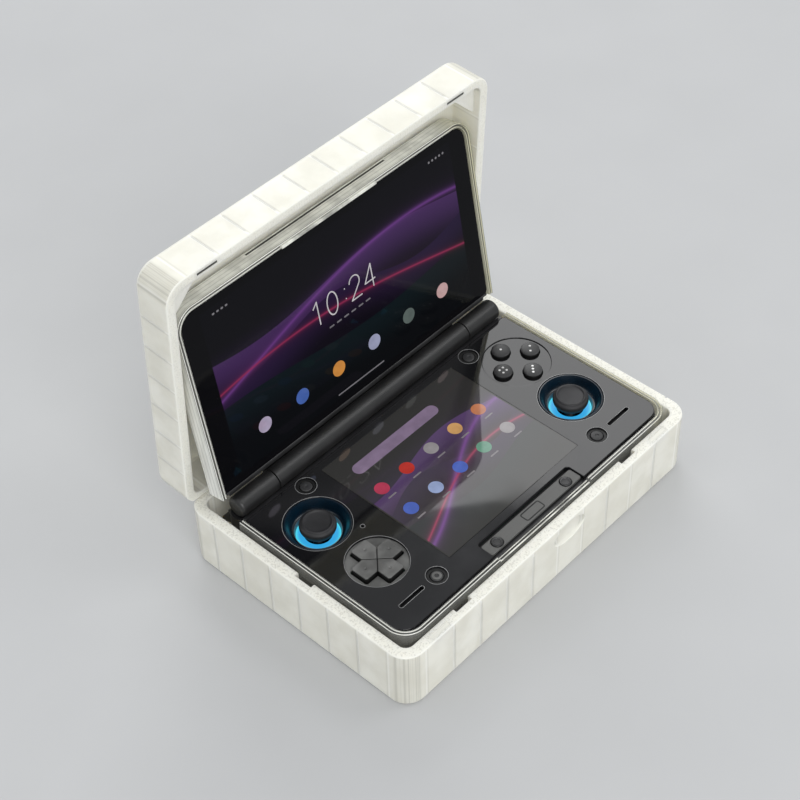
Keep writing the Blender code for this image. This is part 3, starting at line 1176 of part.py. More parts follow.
def console_lid(axis):
    """The console's upper half, in the frame of the console hinge."""
    bore = HINGE_PIN_RADIUS + PIECE_GAP
    bore_depth = HINGE_PIN_ENTRY + PIECE_GAP
    barrel = [(bore, -BARREL_HALF_LENGTH + bore_depth), (bore, -BARREL_HALF_LENGTH),
              (BARREL_RADIUS, -BARREL_HALF_LENGTH), (BARREL_RADIUS, BARREL_HALF_LENGTH),
              (bore, BARREL_HALF_LENGTH), (bore, BARREL_HALF_LENGTH - bore_depth)]
    node("hinge_barrel_center", Solid().spin(barrel, (0, 0, 0), "X"), BLACK_MATT, axis)

    def ring(inset):
        return rounded(-BODY_HALF + inset, BODY_HALF - inset, -HINGE_REACH + inset, -LID_FOOT - inset,
                       LID_CORNER - inset, LID_REAR_CORNER)

    levels = [(ring(0), COVER_BOTTOM)]
    for step in range(EDGE_STEPS + 1):
        angle = math.pi / 2 * step / EDGE_STEPS
        levels.append((ring(LID_EDGE * (1 - math.cos(angle))), COVER_TOP - LID_EDGE * (1 - math.sin(angle))))
    cover = node("lid_rear_cover", Solid().levels(levels), BLACK_MATT, axis)
    half = BARREL_HALF_LENGTH - PIECE_GAP
    join(cover, Solid().box((-half, half), (-LID_FOOT - LID_REAR_CORNER, -SADDLE_FOOT),
                            (COVER_BOTTOM + SEAM, COVER_TOP - LID_EDGE)))
    reach = BARREL_HALF_LENGTH + OVERRUN
    cut(cover, Solid().rod(BARREL_RADIUS + PIECE_GAP, -reach, reach, (0, 0, 0), "X"))
    middle = -(HINGE_REACH + GLASS_FOOT) / 2
    pocket = centred(0, middle, UPPER_DISPLAY_WIDTH + PIECE_GAP * 2, UPPER_DISPLAY_LENGTH + PIECE_GAP * 2,
                     LID_REAR_CORNER)
    display_top = COVER_BOTTOM + UPPER_DISPLAY_THICKNESS
    cut(cover, Solid().extrude(pocket, COVER_BOTTOM - OVERRUN, display_top + PIECE_GAP))
    screen = centred(0, middle, UPPER_DISPLAY_WIDTH, UPPER_DISPLAY_LENGTH, LID_REAR_CORNER)
    node("upper_display", Solid().extrude(screen, COVER_BOTTOM, display_top), SCREEN, axis)
    glass = rounded(-BODY_HALF, BODY_HALF, -HINGE_REACH, -GLASS_FOOT, LID_CORNER, LID_REAR_CORNER)
    node("upper_glass", Solid().extrude(glass, GLASS_RISE, GLASS_RISE + GLASS_THICKNESS), BLACK_GLOSS, axis)
    lid_clear_shell(axis)


def lid_clear_shell(axis):
    """The clear cover behind the console's lid, with a raised lip and a thumb rail."""
    lip = GLASS_RISE - SHELL_LIP
    body = tray(SHELL_HALF, -SHELL_REACH, BARREL_RADIUS, LID_SHELL_TOP, lip, SHELL_WALL,
                LID_SHELL_FLOOR, LID_CORNER + SHELL_WALL, SHELL_EDGE, SHELL_EASE)
    item = node("lid_clear_shell", body, CLEAR, axis)
    cut(item, Solid().box((-SHELL_HALF - OVERRUN, SHELL_HALF + OVERRUN), (-LID_FOOT, BARREL_RADIUS + OVERRUN),
                          (lip - OVERRUN, LID_SHELL_TOP + OVERRUN)))
    half = LID_CLIP_LENGTH / 2
    along = (-SHELL_REACH + SHELL_EASE * 2, -SHELL_REACH + SHELL_WALL - SHELL_EASE)
    join(item, Solid().box((-half, half), along, (lip - LID_CLIP_RISE, lip + SEAM)))


def build():
    """Models the whole object in an empty scene."""
    for item in list(bpy.data.objects):
        bpy.data.objects.remove(item, do_unlink=True)
    case_axis = hinge_empty("case_hinge_axis", CASE_AXIS_Y, CASE_AXIS_Z, CASE_OPEN_ANGLE)
    console_axis = hinge_empty("console_hinge_axis", HINGE_Y, HINGE_Z, lid_open_angle())
    case_base()
    case_lid(case_axis)
    case_pins()
    lower_clear_shell()
    lower_housing()
    face_plate()
    lower_display()
    front_tab()
    stick("left", HIGH_CONTROL_SHARES, -1)
    stick("right", LOW_CONTROL_SHARES, 1)
    direction_pad()
    face_buttons()
    round_buttons()
    inner_works()
    ports()
    edge_keys()
    shoulder_keys()
    hinge_fixed_parts()
    console_lid(console_axis)


build()
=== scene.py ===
"""Looks of a two-screen hand-held console that lies open in its printed carrying case.

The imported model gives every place; this file adds the finer shapes and the finishes.
Lengths are in metres, +Z is up, +X runs along both hinges and +Y points to the hinges.
"""

import json
import logging
import math
from dataclasses import dataclass
from enum import Enum
from functools import cached_property, reduce
from typing import Iterable, Optional, Sequence, Union

import bmesh
import bpy
from mathutils import Matrix, Vector

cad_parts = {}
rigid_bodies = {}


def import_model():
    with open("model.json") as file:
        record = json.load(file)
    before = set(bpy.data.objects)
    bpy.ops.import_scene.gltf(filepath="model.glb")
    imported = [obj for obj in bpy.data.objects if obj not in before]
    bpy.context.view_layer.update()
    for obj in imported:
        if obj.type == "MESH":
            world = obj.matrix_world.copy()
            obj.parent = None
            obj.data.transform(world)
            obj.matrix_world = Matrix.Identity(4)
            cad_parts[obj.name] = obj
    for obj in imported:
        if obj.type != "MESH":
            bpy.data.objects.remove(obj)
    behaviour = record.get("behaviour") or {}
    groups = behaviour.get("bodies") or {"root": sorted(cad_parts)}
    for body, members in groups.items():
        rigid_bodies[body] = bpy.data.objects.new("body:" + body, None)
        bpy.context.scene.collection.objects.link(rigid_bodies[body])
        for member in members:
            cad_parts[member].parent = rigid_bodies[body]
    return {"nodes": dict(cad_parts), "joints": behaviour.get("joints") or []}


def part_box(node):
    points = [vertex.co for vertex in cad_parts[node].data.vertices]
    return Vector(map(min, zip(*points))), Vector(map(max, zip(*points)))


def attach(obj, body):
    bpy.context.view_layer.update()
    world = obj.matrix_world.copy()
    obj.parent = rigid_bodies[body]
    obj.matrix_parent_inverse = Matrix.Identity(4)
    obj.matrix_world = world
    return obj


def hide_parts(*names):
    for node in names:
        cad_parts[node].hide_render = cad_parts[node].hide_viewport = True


for leftover in list(bpy.data.objects):
    bpy.data.objects.remove(leftover, do_unlink=True)
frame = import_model()

LOG = logging.getLogger("console_scene")
MM = 0.001
ROOT = "console_in_case"
CASE_LID_BODY = "case_lid_body"
CONSOLE_LID_BODY = "console_lid_body"
SIDES = ((-1, "left"), (1, "right"))
ROUND_STEPS = 72
SMALL_ROUND_STEPS = 40
CORNER_STEPS = 14
EDGE_STEPS = 5
SMOOTH_ANGLE = math.radians(28.0)
FLAT_ANGLE = math.radians(8.0)
WELD = 0.001 * MM
SLIVER = 0.0005 * MM
TURNED_BACK = 1e-6
SHARPEST_LEAN = 0.3
SEAM_PITCH = 14.8 * MM
SEAM_PHASE = (1.0 * MM, -3.0 * MM)
OVERCUT = 1.0 * MM
PRINT_SINK = 0.05 * MM
PRINT_RISE = 0.03 * MM
PRINT_EDGE = 0.01 * MM

Place = tuple[float, float]
Colour = tuple[float, float, float]
Point3 = tuple[float, float, float]
Outline = Sequence[Place]
Socket = bpy.types.NodeSocket
Feed = Union[Socket, float, Colour]
Material = bpy.types.Material
Item = bpy.types.Object


class Slot(Enum):
    """The record's material slots, one given with each piece."""

    CASE = "printed_case"
    COVER = "clear_cover"
    GLOSS = "gloss_black"
    MATT = "matt_black"
    RUBBER = "dark_rubber"
    WELL = "well_blue"
    LIGHT = "light_cyan"
    METAL = "grey_metal"
    SCREEN = "screen"


class Carving(Enum):
    """How a tool shape changes a piece."""

    CUT = "DIFFERENCE"
    JOIN = "UNION"


class Spindle(Enum):
    """The way in which the axis of a turned shape points."""

    UPRIGHT = "up"
    ACROSS = "across"


@dataclass(frozen=True)
class Box:
    """A CAD node's extent at rest, in the row frame."""

    low: Vector
    high: Vector

    @classmethod
    def of(cls, node: str) -> "Box":
        """The box of a node."""
        return cls(*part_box(node))

    @property
    def centre(self) -> Vector:
        """The middle of the box."""
        return (self.low + self.high) / 2

    @property
    def size(self) -> Vector:
        """The box's three lengths."""
        return self.high - self.low

    def reach(self, axis: int, margin: float = 0.0) -> Place:
        """The limits along one axis, each moved out by a margin."""
        return self.low[axis] - margin, self.high[axis] + margin


@dataclass(frozen=True)
class Hinge:
    """A lid's axis along X, and how far the lid stands open at rest."""

    joint: str
    open_angle: float

    @property
    def axis(self) -> Vector:
        """A point of the axis."""
        return Vector(next(joint["pos_m"] for joint in frame["joints"] if joint["name"] == self.joint))

    @property
    def matrix(self) -> Matrix:
        """Turns the closed lid's frame into the row frame at rest."""
        return Matrix.Translation(self.axis) @ Matrix.Rotation(-self.open_angle, 4, "X")

    @property
    def up(self) -> Point3:
        """The direction in the row frame of the closed lid's upward axis."""
        return 0.0, math.sin(self.open_angle), math.cos(self.open_angle)

    @property
    def along(self) -> Point3:
        """The direction in the row frame of the closed lid's rearward axis."""
        return 0.0, math.cos(self.open_angle), -math.sin(self.open_angle)

    def box_of(self, node: str) -> Box:
        """Measures a node in the closed lid's frame.

        Args:
            node: The node's name.

        Returns:
            Its extent.
        """
        back = self.matrix.inverted()
        points = [back @ corner.co for corner in frame["nodes"][node].data.vertices]
        low = Vector(min(point[axis] for point in points) for axis in range(3))
        high = Vector(max(point[axis] for point in points) for axis in range(3))
        return Box(low, high)


CASE_HINGE = Hinge("case_lid_hinge", math.radians(87.0))
CONSOLE_HINGE = Hinge("console_lid_hinge", math.radians(100.0))


def cosine(degrees: float) -> float:
    """The cosine of an angle in degrees."""
    return math.cos(math.radians(degrees))


def sine(degrees: float) -> float:
    """The sine of an angle in degrees."""
    return math.sin(math.radians(degrees))


def about(middle: float, reach: float) -> Place:
    """The limits of a stretch that reaches equally far to both sides."""
    return middle - reach, middle + reach


def rounded(half: float, front: float, rear: float, corner: float, rear_corner: Optional[float] = None,
            steps: int = CORNER_STEPS, middle: float = 0.0) -> list[Place]:
    """A rectangle with round corners.

    Args:
        half: Half the width along X.
        front: The lower limit along Y.
        rear: The upper limit along Y.
        corner: Radius of the front corners.
        rear_corner: Radius of the rear corners, where it differs.
        steps: Sides of each corner.
        middle: Where the rectangle is centred along X.

    Returns:
        The outline, anticlockwise.
    """
    back = corner if rear_corner is None else rear_corner
    quarters = ((half - corner, front + corner, corner, -90.0), (half - back, rear - back, back, 0.0),
                (back - half, rear - back, back, 90.0), (corner - half, front + corner, corner, 180.0))
    points = []
    for x, y, radius, start in quarters:
        for step in range(steps + 1):
            angle = start + 90.0 * step / steps
            points.append((middle + x + radius * cosine(angle), y + radius * sine(angle)))
    return points


def circle(x: float, y: float, radius: float, steps: int = ROUND_STEPS) -> list[Place]:
    """A round outline about a point."""
    turns = [math.tau * step / steps for step in range(steps)]
    return [(x + radius * math.cos(turn), y + radius * math.sin(turn)) for turn in turns]


def stadium(x: float, y: float, length: float, width: float) -> list[Place]:
    """A slot's outline with full round ends, along X."""
    return rounded(length / 2, *about(y, width / 2), width / 2, middle=x)


def arc(radius: float, start: float, end: float, steps: int = EDGE_STEPS) -> list[Place]:
    """Points on an arc about zero, between two angles in degrees."""
    turns = [start + (end - start) * step / steps for step in range(steps + 1)]
    return [(radius * cosine(turn), radius * sine(turn)) for turn in turns]


def eased(radius: float, top: float, ease: float, start: float = 0.0, steps: int = EDGE_STEPS) -> list[Place]:
    """The round upper edge of a turned profile, from its side to its top."""
    return [(radius - ease + a, top - ease + b) for a, b in arc(ease, start, 90.0, steps)]


def metres(profile: Outline) -> list[Place]:
    """A profile that is given in millimetres."""
    return [(a * MM, b * MM) for a, b in profile]


def inset(outline: Outline, gap: float) -> list[Place]:
    """Moves an outline inwards, corner by corner.

    Args:
        outline: The outline, anticlockwise.
        gap: How far it moves; outwards below zero.

    Returns:
        The moved outline.
    """
    moved = []
    count = len(outline)
    for step in range(count):
        before, here, after = (Vector(outline[(step + turn) % count]) for turn in (-1, 0, 1))
        first, second = (here - before).normalized(), (after - here).normalized()
        bisector = Vector((-first.y - second.y, first.x + second.x))
        if bisector.length < TURNED_BACK:
            moved.append(tuple(here))
            continue
        bisector.normalize()
        lean = max(SHARPEST_LEAN, bisector.dot(Vector((-first.y, first.x))))
        moved.append(tuple(here + bisector * gap / lean))
    return moved


class Shape:
    """Closed bodies gathered into one mesh."""

    def __init__(self) -> None:
        """Starts with nothing."""
        self.points: list[Point3] = []
        self.faces: list[tuple[int, ...]] = []

    def loft(self, rings: Sequence[Sequence[Point3]], closed: bool = False) -> "Shape":
        """Skins a stack of equal rings.

        Args:
            rings: The rings, each with the same count of points.
            closed: Whether the last ring joins the first, as in a torus.

        Returns:
            This shape.
        """
        start, count = len(self.points), len(rings[0])
        for ring in rings:
            self.points.extend(ring)
        for span in range(len(rings) if closed else len(rings) - 1):
            low, high = start + span * count, start + (span + 1) % len(rings) * count
            for step in range(count):
                turn = (step + 1) % count
                self.faces.append((low + step, low + turn, high + turn, high + step))
        if not closed:
            last = start + (len(rings) - 1) * count
            self.faces.append(tuple(reversed(range(start, start + count))))
            self.faces.append(tuple(range(last, last + count)))
        return self

    def levels(self, levels: Iterable[tuple[Outline, float]]) -> "Shape":
        """Skins outlines at their heights."""
        return self.loft([[(x, y, height) for x, y in outline] for outline, height in levels])

    def spin(self, profile: Outline, centre: Sequence[float] = (0, 0, 0),
             spindle: Spindle = Spindle.UPRIGHT, steps: int = ROUND_STEPS, closed: bool = False) -> "Shape":
        """Turns a profile about an axis through a point.

        Args:
            profile: Radius and height of each point.
            centre: A point of the axis.
            spindle: Which way the axis points.
            steps: Sides of the round shape.
            closed: Whether the profile is a loop, as in a ring.

        Returns:
            This shape.
        """
        rings = []
        for radius, height in profile:
            ring = []
            for a, b in circle(0, 0, radius, steps):
                offset = (a, b, height) if spindle is Spindle.UPRIGHT else (height, a, b)
                ring.append(tuple(zero + shift for zero, shift in zip(centre, offset)))
            rings.append(ring)
        return self.loft(rings, closed)

    def bar(self, outline: Outline, low: float, high: float, edge: float = 0.0) -> "Shape":
        """Adds a straight body of one convex outline.

        Args:
            outline: The outline, anticlockwise.
            low: Height of the underside.
            high: Height of the upper side.
            edge: How far both edges are eased.

        Returns:
            This shape.
        """
        if edge <= 0:
            return self.levels([(outline, low), (outline, high)])
        small = inset(outline, edge)
        return self.levels([(small, low), (outline, low + edge), (outline, high - edge), (small, high)])

    def add(self, *others: "Shape") -> "Shape":
        """Takes the bodies of other shapes in.

        Args:
            others: The shapes.

        Returns:
            This shape.
        """
        for other in others:
            start = len(self.points)
            self.points.extend(other.points)
            self.faces.extend(tuple(start + corner for corner in face) for face in other.faces)
        return self

    def mesh(self, name: str) -> bpy.types.Mesh:
        """Makes a mesh of the bodies, not yet cleaned.

        Args:
            name: The mesh's name.

        Returns:
            The mesh.
        """
        mesh = bpy.data.meshes.new(name)
        mesh.from_pydata([tuple(point) for point in self.points], [], self.faces)
        return mesh

    def object(self, name: str, material: Material, matrix: Optional[Matrix] = None,
               smooth: float = SMOOTH_ANGLE) -> Item:
        """The finished object, with its mesh taken to its place by the matrix."""
        return dress(self.mesh(name), name, material, matrix, smooth)


def stand(name: str, data: bpy.types.ID) -> Item:
    """Puts data into the scene.

    Args:
        name: The object's name.
        data: Its mesh, curve, light or camera.

    Returns:
        The new object.
    """
    item = bpy.data.objects.new(name, data)
    bpy.context.scene.collection.objects.link(item)
    return item


def clean(mesh: bpy.types.Mesh, slivers: bool = True) -> None:
    """Merges double points and turns the faces outwards.

    Args:
        mesh: The mesh, changed in place.
        slivers: Whether faces without area are dissolved.
    """
    work = bmesh.new()
    work.from_mesh(mesh)
    bmesh.ops.remove_doubles(work, verts=work.verts, dist=WELD)
    if slivers:
        bmesh.ops.dissolve_degenerate(work, edges=work.edges, dist=SLIVER)
    bmesh.ops.recalc_face_normals(work, faces=work.faces)
    work.to_mesh(mesh)
    work.free()


def dress(mesh: bpy.types.Mesh, name: str, material: Material, matrix: Optional[Matrix] = None,
          smooth: float = SMOOTH_ANGLE) -> Item:
    """Makes the object of a mesh: placed, cleaned, shaded and with its finish.

    Args:
        mesh: The mesh.
        name: The piece's name.
        material: Its finish.
        matrix: Takes the mesh to its place in the row frame.
        smooth: Angle past which an edge is sharp.

    Returns:
        The new object, at the origin.
    """
    if matrix is not None:
        mesh.transform(matrix)
    clean(mesh)
    mesh.materials.clear()
    mesh.materials.append(material)
    mesh.shade_smooth()
    mesh.set_sharp_from_angle(angle=smooth)
    item = stand(name, mesh)
    item.modifiers.new("even_shading", "WEIGHTED_NORMAL").keep_sharp = True
    return item


def plain_mesh(carrier: Item) -> bpy.types.Mesh:
    """Takes the evaluated mesh of an object and removes the object.

    Args:
        carrier: The object, with its modifiers.

    Returns:
        The mesh.
    """
    graph = bpy.context.evaluated_depsgraph_get()
    graph.update()
    mesh = bpy.data.meshes.new_from_object(carrier.evaluated_get(graph), depsgraph=graph)
    bpy.data.objects.remove(carrier, do_unlink=True)
    return mesh


def draw_line(curve: bpy.types.Curve, points: Outline, height: float = 0.0,
              closed: bool = False) -> None:
    """Adds one line of straight sides to a curve.

    Args:
        curve: The curve.
        points: The line's corners.
        height: Where it lies along Z.
        closed: Whether its end meets its start.
    """
    spline = curve.splines.new("POLY")
    spline.points.add(len(points) - 1)
    spline.use_cyclic_u = closed
    for point, (x, y) in zip(spline.points, points):
        point.co = (x, y, height, 1)


def sheet(name: str, outline: Outline, holes: Sequence[Outline], span: Place, edge: float,
          material: Material) -> Item:
    """A flat plate with holes and eased edges, filled from its outlines.

    Args:
        name: The piece's name.
        outline: The plate's border, anticlockwise.
        holes: Each hole's border, anticlockwise.
        span: Heights of the underside and of the upper side.
        edge: How far every edge is eased.
        material: The finish.

    Returns:
        The new object.
    """
    low, high = span
    curve = bpy.data.curves.new(name, "CURVE")
    curve.dimensions, curve.fill_mode = "2D", "BOTH"
    curve.extrude = (high - low) / 2 - edge
    curve.bevel_depth, curve.bevel_resolution = edge, 2
    draw_line(curve, inset(outline, edge), closed=True)
    for hole in holes:
        draw_line(curve, inset(hole, -edge)[::-1], closed=True)
    mesh = plain_mesh(stand(name + "_outline", curve))
    return dress(mesh, name, material, Matrix.Translation((0, 0, (low + high) / 2)), FLAT_ANGLE)


def carve(item: Item, tool: Shape, carving: Carving = Carving.CUT) -> Item:
    """Cuts a shape from a piece, or joins it on, and keeps the plain result.

    Args:
        item: The piece, which is used up.
        tool: The shape.
        carving: What the shape does.

    Returns:
        The changed piece.
    """
    name, material = item.name, item.data.materials[0]
    cutter = stand(name + "_tool", tool.mesh("tool"))
    clean(cutter.data, slivers=False)
    item.modifiers.clear()
    change = item.modifiers.new("carve", "BOOLEAN")
    change.operation, change.solver, change.object = carving.value, "EXACT", cutter
    mesh = plain_mesh(item)
    bpy.data.objects.remove(cutter, do_unlink=True)
    return dress(mesh, name, material)


def block(x: Place, y: Place, z: Place) -> Shape:
    """A plain block to cut with, from its limits along each axis."""
    outline = [(x[0], y[0]), (x[1], y[0]), (x[1], y[1]), (x[0], y[1])]
    return Shape().bar(outline, *z)


def mount(item: Item, body: str, slot: Slot, *nodes: str) -> None:
    """Lets a piece ride on its body.

    Args:
        item: The piece.
        body: The body's name.
        slot: Not used.
        nodes: The CAD nodes that the piece stands for.
    """
    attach(item, body)
    if nodes:
        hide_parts(*nodes)
    LOG.info("%s rides on %s, faces %d", item.name, body, len(item.data.polygons))


def coat(node: str, material: Material) -> None:
    """Gives a CAD node that stays its finish.

    Args:
        node: The node's name.
        material: The finish.
    """
    item = frame["nodes"][node]
    if item.data.materials:
        item.data.materials[0] = material
    else:
        item.data.materials.append(material)
    LOG.info("%s keeps its shape", node)


class Brush:
    """Builds one procedural material, node by node."""

    def __init__(self, name: str) -> None:
        """Starts a Principled material with Object coordinates.

        Args:
            name: The material's name.
        """
        self.material = bpy.data.materials.new(name)
        self.material.use_nodes = True
        self.nodes = self.material.node_tree.nodes
        self.links = self.material.node_tree.links
        self.shader = self.nodes["Principled BSDF"]
        coordinates = self.nodes.new("ShaderNodeTexCoord")
        self.place = coordinates.outputs["Object"]
        self.normal = coordinates.outputs["Normal"]

    def feed(self, socket: Socket, value: Feed) -> None:
        """Links a value to a socket, or sets it there.

        Args:
            socket: The input.
            value: Another node's output, a number, a colour or a vector.
        """
        if isinstance(value, Socket):
            self.links.new(value, socket)
        elif socket.type == "RGBA":
            socket.default_value = (*value, 1.0)
        else:
            socket.default_value = value

    def set(self, **values: Feed) -> "Brush":
        """Feeds the shader's sockets.

        Args:
            values: Each socket's name with underscores, and its value.

        Returns:
            This brush.
        """
        for name, value in values.items():
            self.feed(self.shader.inputs[name.replace("_", " ").title().replace("Ior", "IOR")], value)
        return self

    def add(self, kind: str, inputs: dict[Union[int, str], Feed], output: Union[int, str] = 0,
            **settings: str) -> Socket:
        """Adds a node.

        Args:
            kind: The node's type.
            inputs: Each input's name or number, and its value.
            output: Which output is wanted.
            settings: The node's own settings.

        Returns:
            The output.
        """
        node = self.nodes.new(kind)
        for name, value in settings.items():
            setattr(node, name, value)
        for key, value in inputs.items():
            self.feed(node.inputs[key], value)
        return node.outputs[output]

    def math(self, operation: str, first: Feed, second: Feed = 0.0) -> Socket:
        """One sum on two values."""
        return self.add("ShaderNodeMath", {0: first, 1: second}, operation=operation)

    def unsigned(self, value: Feed) -> Socket:
        """A value without its sign."""
        return self.math("ABSOLUTE", value)

    def times(self, *values: Feed) -> Socket:
        """The product of several values."""
        return reduce(lambda first, second: self.math("MULTIPLY", first, second), values)

    def vector(self, operation: str, first: Feed, second: Feed, output: str = "Vector") -> Socket:
        """One sum on two vectors."""
        return self.add("ShaderNodeVectorMath", {0: first, 1: second}, output, operation=operation)

    def along(self, direction: Point3, origin: Sequence[float] = (0, 0, 0),
              vector: Optional[Socket] = None) -> Socket:
        """How far a point, or another vector, reaches along a direction."""
        shifted = self.vector("SUBTRACT", self.place if vector is None else vector, tuple(origin))
        return self.vector("DOT_PRODUCT", shifted, direction, "Value")

    def facing(self, direction: Point3) -> Socket:
        """How far the surface faces along a direction."""
        return self.along(direction, vector=self.normal)

    def fade(self, value: Feed, low: float, high: float) -> Socket:
        """A smooth step from 0 at low to 1 at high."""
        return self.add("ShaderNodeMapRange", {"Value": value, "From Min": low, "From Max": high},
                        interpolation_type="SMOOTHSTEP")

    def ramp(self, value: Feed, low: float, high: float) -> Socket:
        """Carries a share between 0 and 1 to a value between two limits."""
        return self.add("ShaderNodeMapRange", {"Value": value, "To Min": low, "To Max": high})

    def noise(self, size: float, detail: float = 3.0, stretch: Point3 = (1, 1, 1)) -> Socket:
        """Noise whose features have about the given size."""
        place = self.place if stretch == (1, 1, 1) else self.vector("MULTIPLY", self.place, stretch)
        return self.add("ShaderNodeTexNoise", {"Vector": place, "Scale": 1.0 / size, "Detail": detail}, "Fac")

    def mix(self, factor: Feed, low: Feed, high: Feed) -> Socket:
        """A blend of two colours."""
        return self.add("ShaderNodeMix", {0: factor, 6: low, 7: high}, 2, data_type="RGBA")

    def bump(self, height: Socket, depth: float, strength: float = 1.0) -> "Brush":
        """Roughens the surface by a height pattern.

        Args:
            height: The pattern.
            depth: How deep it goes, in metres.
            strength: How much of it shows.

        Returns:
            This brush.
        """
        socket = self.shader.inputs["Normal"]
        before = {"Normal": socket.links[0].from_socket} if socket.is_linked else {}
        inputs = {"Distance": depth, "Strength": strength, "Height": height}
        self.links.new(self.add("ShaderNodeBump", {**inputs, **before}), socket)
        return self


@dataclass(frozen=True)
class Finish:
    """A procedural finish."""

    name: str

    @cached_property
    def brush(self) -> Brush:
        """The brush that holds the material in the making."""
        return Brush(self.name)

    def paint(self) -> None:
        """Sets the nodes; each finish has its own way."""

    def make(self) -> Material:
        """The painted material."""
        self.paint()
        return self.brush.material


@dataclass(frozen=True)
class PrintedPlastic(Finish):
    """Warm white printed plastic: faint wall panels, upright lines and painted shade at the corners, a
    stippled rim.
    """

    up: Point3 = (0.0, 0.0, 1.0)
    along: Point3 = (0.0, 1.0, 0.0)
    origin: Point3 = (0.0, 0.0, 0.0)
    light: Colour = (0.87, 0.86, 0.785)
    dark: Colour = (0.75, 0.735, 0.65)
    shade: Colour = (0.44, 0.43, 0.375)
    glint: Colour = (0.93, 0.925, 0.88)
    cloud: float = 14.0 * MM
    layer: float = 0.42 * MM
    stipple: float = 0.7 * MM
    raster: float = 0.9 * MM
    raster_way: Point3 = (0.7, 0.7, 0.1)
    speckle: float = 0.38
    speckled_edge: Place = (1.4 * MM, 1.0 * MM)
    panel_tone: float = 0.45
    seam_shadow: tuple[float, float, float] = (0.40 * MM, 0.50 * MM, 0.22)
    seam_highlight: tuple[float, float, float] = (-0.45 * MM, 0.60 * MM, 0.60)
    ring_band_and_shade: Place = (0.22, 0.58)
    ring_pace: float = 7.5
    roughness: Place = (0.36, 0.52)
    painted_glow: float = 0.045
    soak_depth: float = 0.004
    soak_tint: Colour = (1.0, 0.97, 0.9)
    grain_depth: float = 0.05 * MM
    line_depth: float = 0.012 * MM

    def paint(self) -> None:
        """Clouds the tone, adds seams, rings, specks, painted shade and glow, and roughens the surface."""
        brush = self.brush
        slope = brush.unsigned(brush.facing(self.up))
        wall, rim = brush.fade(slope, 0.5, 0.2), brush.fade(slope, 0.94, 0.99)
        cloud = brush.noise(self.cloud, 4.0)
        deep = brush.times(brush.fade(cloud, 0.7, 0.3), brush.ramp(wall, 0.35, 1.0))
        colour = brush.mix(deep, self.light, self.dark)
        colour = self.panels(wall, colour)
        colour = self.corner_rings_and_shade(wall, colour)
        height = brush.along(self.up, self.origin)
        top = brush.times(rim, brush.fade(brush.unsigned(height), *self.speckled_edge))
        speck = brush.times(brush.fade(brush.noise(self.stipple, 2.0), 0.52, 0.62), top, self.speckle)
        # the emission of the pale tone is a painted glow, standing in for light that passes through the thin
        # walls
        brush.set(base_color=brush.mix(speck, colour, self.shade),
                  roughness=brush.ramp(cloud, *self.roughness), subsurface_weight=0.5,
                  subsurface_scale=self.soak_depth, subsurface_radius=self.soak_tint,
                  specular_ior_level=0.42, emission_color=self.light, emission_strength=self.painted_glow)
        lines = brush.math("SINE", brush.times(height, math.tau / self.layer))
        weave = brush.math("SINE", brush.times(brush.along(self.raster_way), math.tau / self.raster))
        brush.bump(brush.noise(self.stipple, 3.0), self.grain_depth, 0.5)
        brush.bump(brush.times(weave, rim), self.line_depth, 0.5)
        brush.bump(brush.times(lines, brush.math("SUBTRACT", 1.0, rim)), self.line_depth, 0.5)

    def panels(self, wall: Socket, colour: Socket) -> Socket:
        """Adds the walls' panels, each with its own tone, and a painted shadow and highlight line at each
        seam.

        Args:
            wall: 1 on the upright walls, 0 elsewhere.
            colour: The colour so far.

        Returns:
            The colour with the panels.
        """
        brush = self.brush
        side = brush.unsigned(brush.facing((1, 0, 0)))
        across = brush.along((1, 0, 0), (SEAM_PHASE[0], 0, 0))
        length = brush.math("SUBTRACT", brush.along(self.along, self.origin), SEAM_PHASE[1])
        run = brush.add("ShaderNodeMix", {0: brush.fade(side, 0.6, 0.8), 2: across, 3: length})
        cell = brush.math("ADD", brush.math("DIVIDE", run, SEAM_PITCH), 0.5)
        offset = brush.times(brush.math("SUBTRACT", brush.math("FRACT", cell), 0.5), SEAM_PITCH)
        number = brush.math("FLOOR", brush.math("ADD", cell, 0.5))
        tone = brush.add("ShaderNodeTexWhiteNoise", {"W": number}, "Value", noise_dimensions="1D")
        colour = brush.mix(brush.times(tone, wall, self.panel_tone), colour, self.dark)
        # each seam gets a painted shadow line on one side of its bead and a painted highlight line on the
        # other
        for (place, width, strength), tint in ((self.seam_shadow, self.shade), (self.seam_highlight, self.glint)):
            gap = brush.unsigned(brush.math("SUBTRACT", offset, place))
            line = brush.times(brush.fade(gap, width, width * 0.2), wall, strength)
            colour = brush.mix(line, colour, tint)
        return colour

    def corner_rings_and_shade(self, wall: Socket, colour: Socket) -> Socket:
        """Adds the fine upright lines round the corners over a painted shade that darkens the corners.

        Args:
            wall: 1 on the upright walls, 0 elsewhere.
            colour: The colour so far.

        Returns:
            The colour with the lines.
        """
        brush = self.brush
        side, front = brush.facing((1, 0, 0)), brush.facing(self.along)
        turn = brush.math("ARCTAN2", front, side)
        grain = brush.add("ShaderNodeTexNoise", {"W": turn, "Scale": self.ring_pace, "Detail": 3.0}, "Fac",
                          noise_dimensions="1D")
        # the band keeps a floor above zero, so the corners carry painted shade between the lines as well
        band = brush.ramp(brush.fade(grain, 0.45, 0.60), *self.ring_band_and_shade)
        corner = brush.times(brush.fade(brush.unsigned(side), 0.10, 0.25),
                             brush.fade(brush.unsigned(front), 0.05, 0.20))
        return brush.mix(brush.times(band, corner, wall), colour, self.shade)


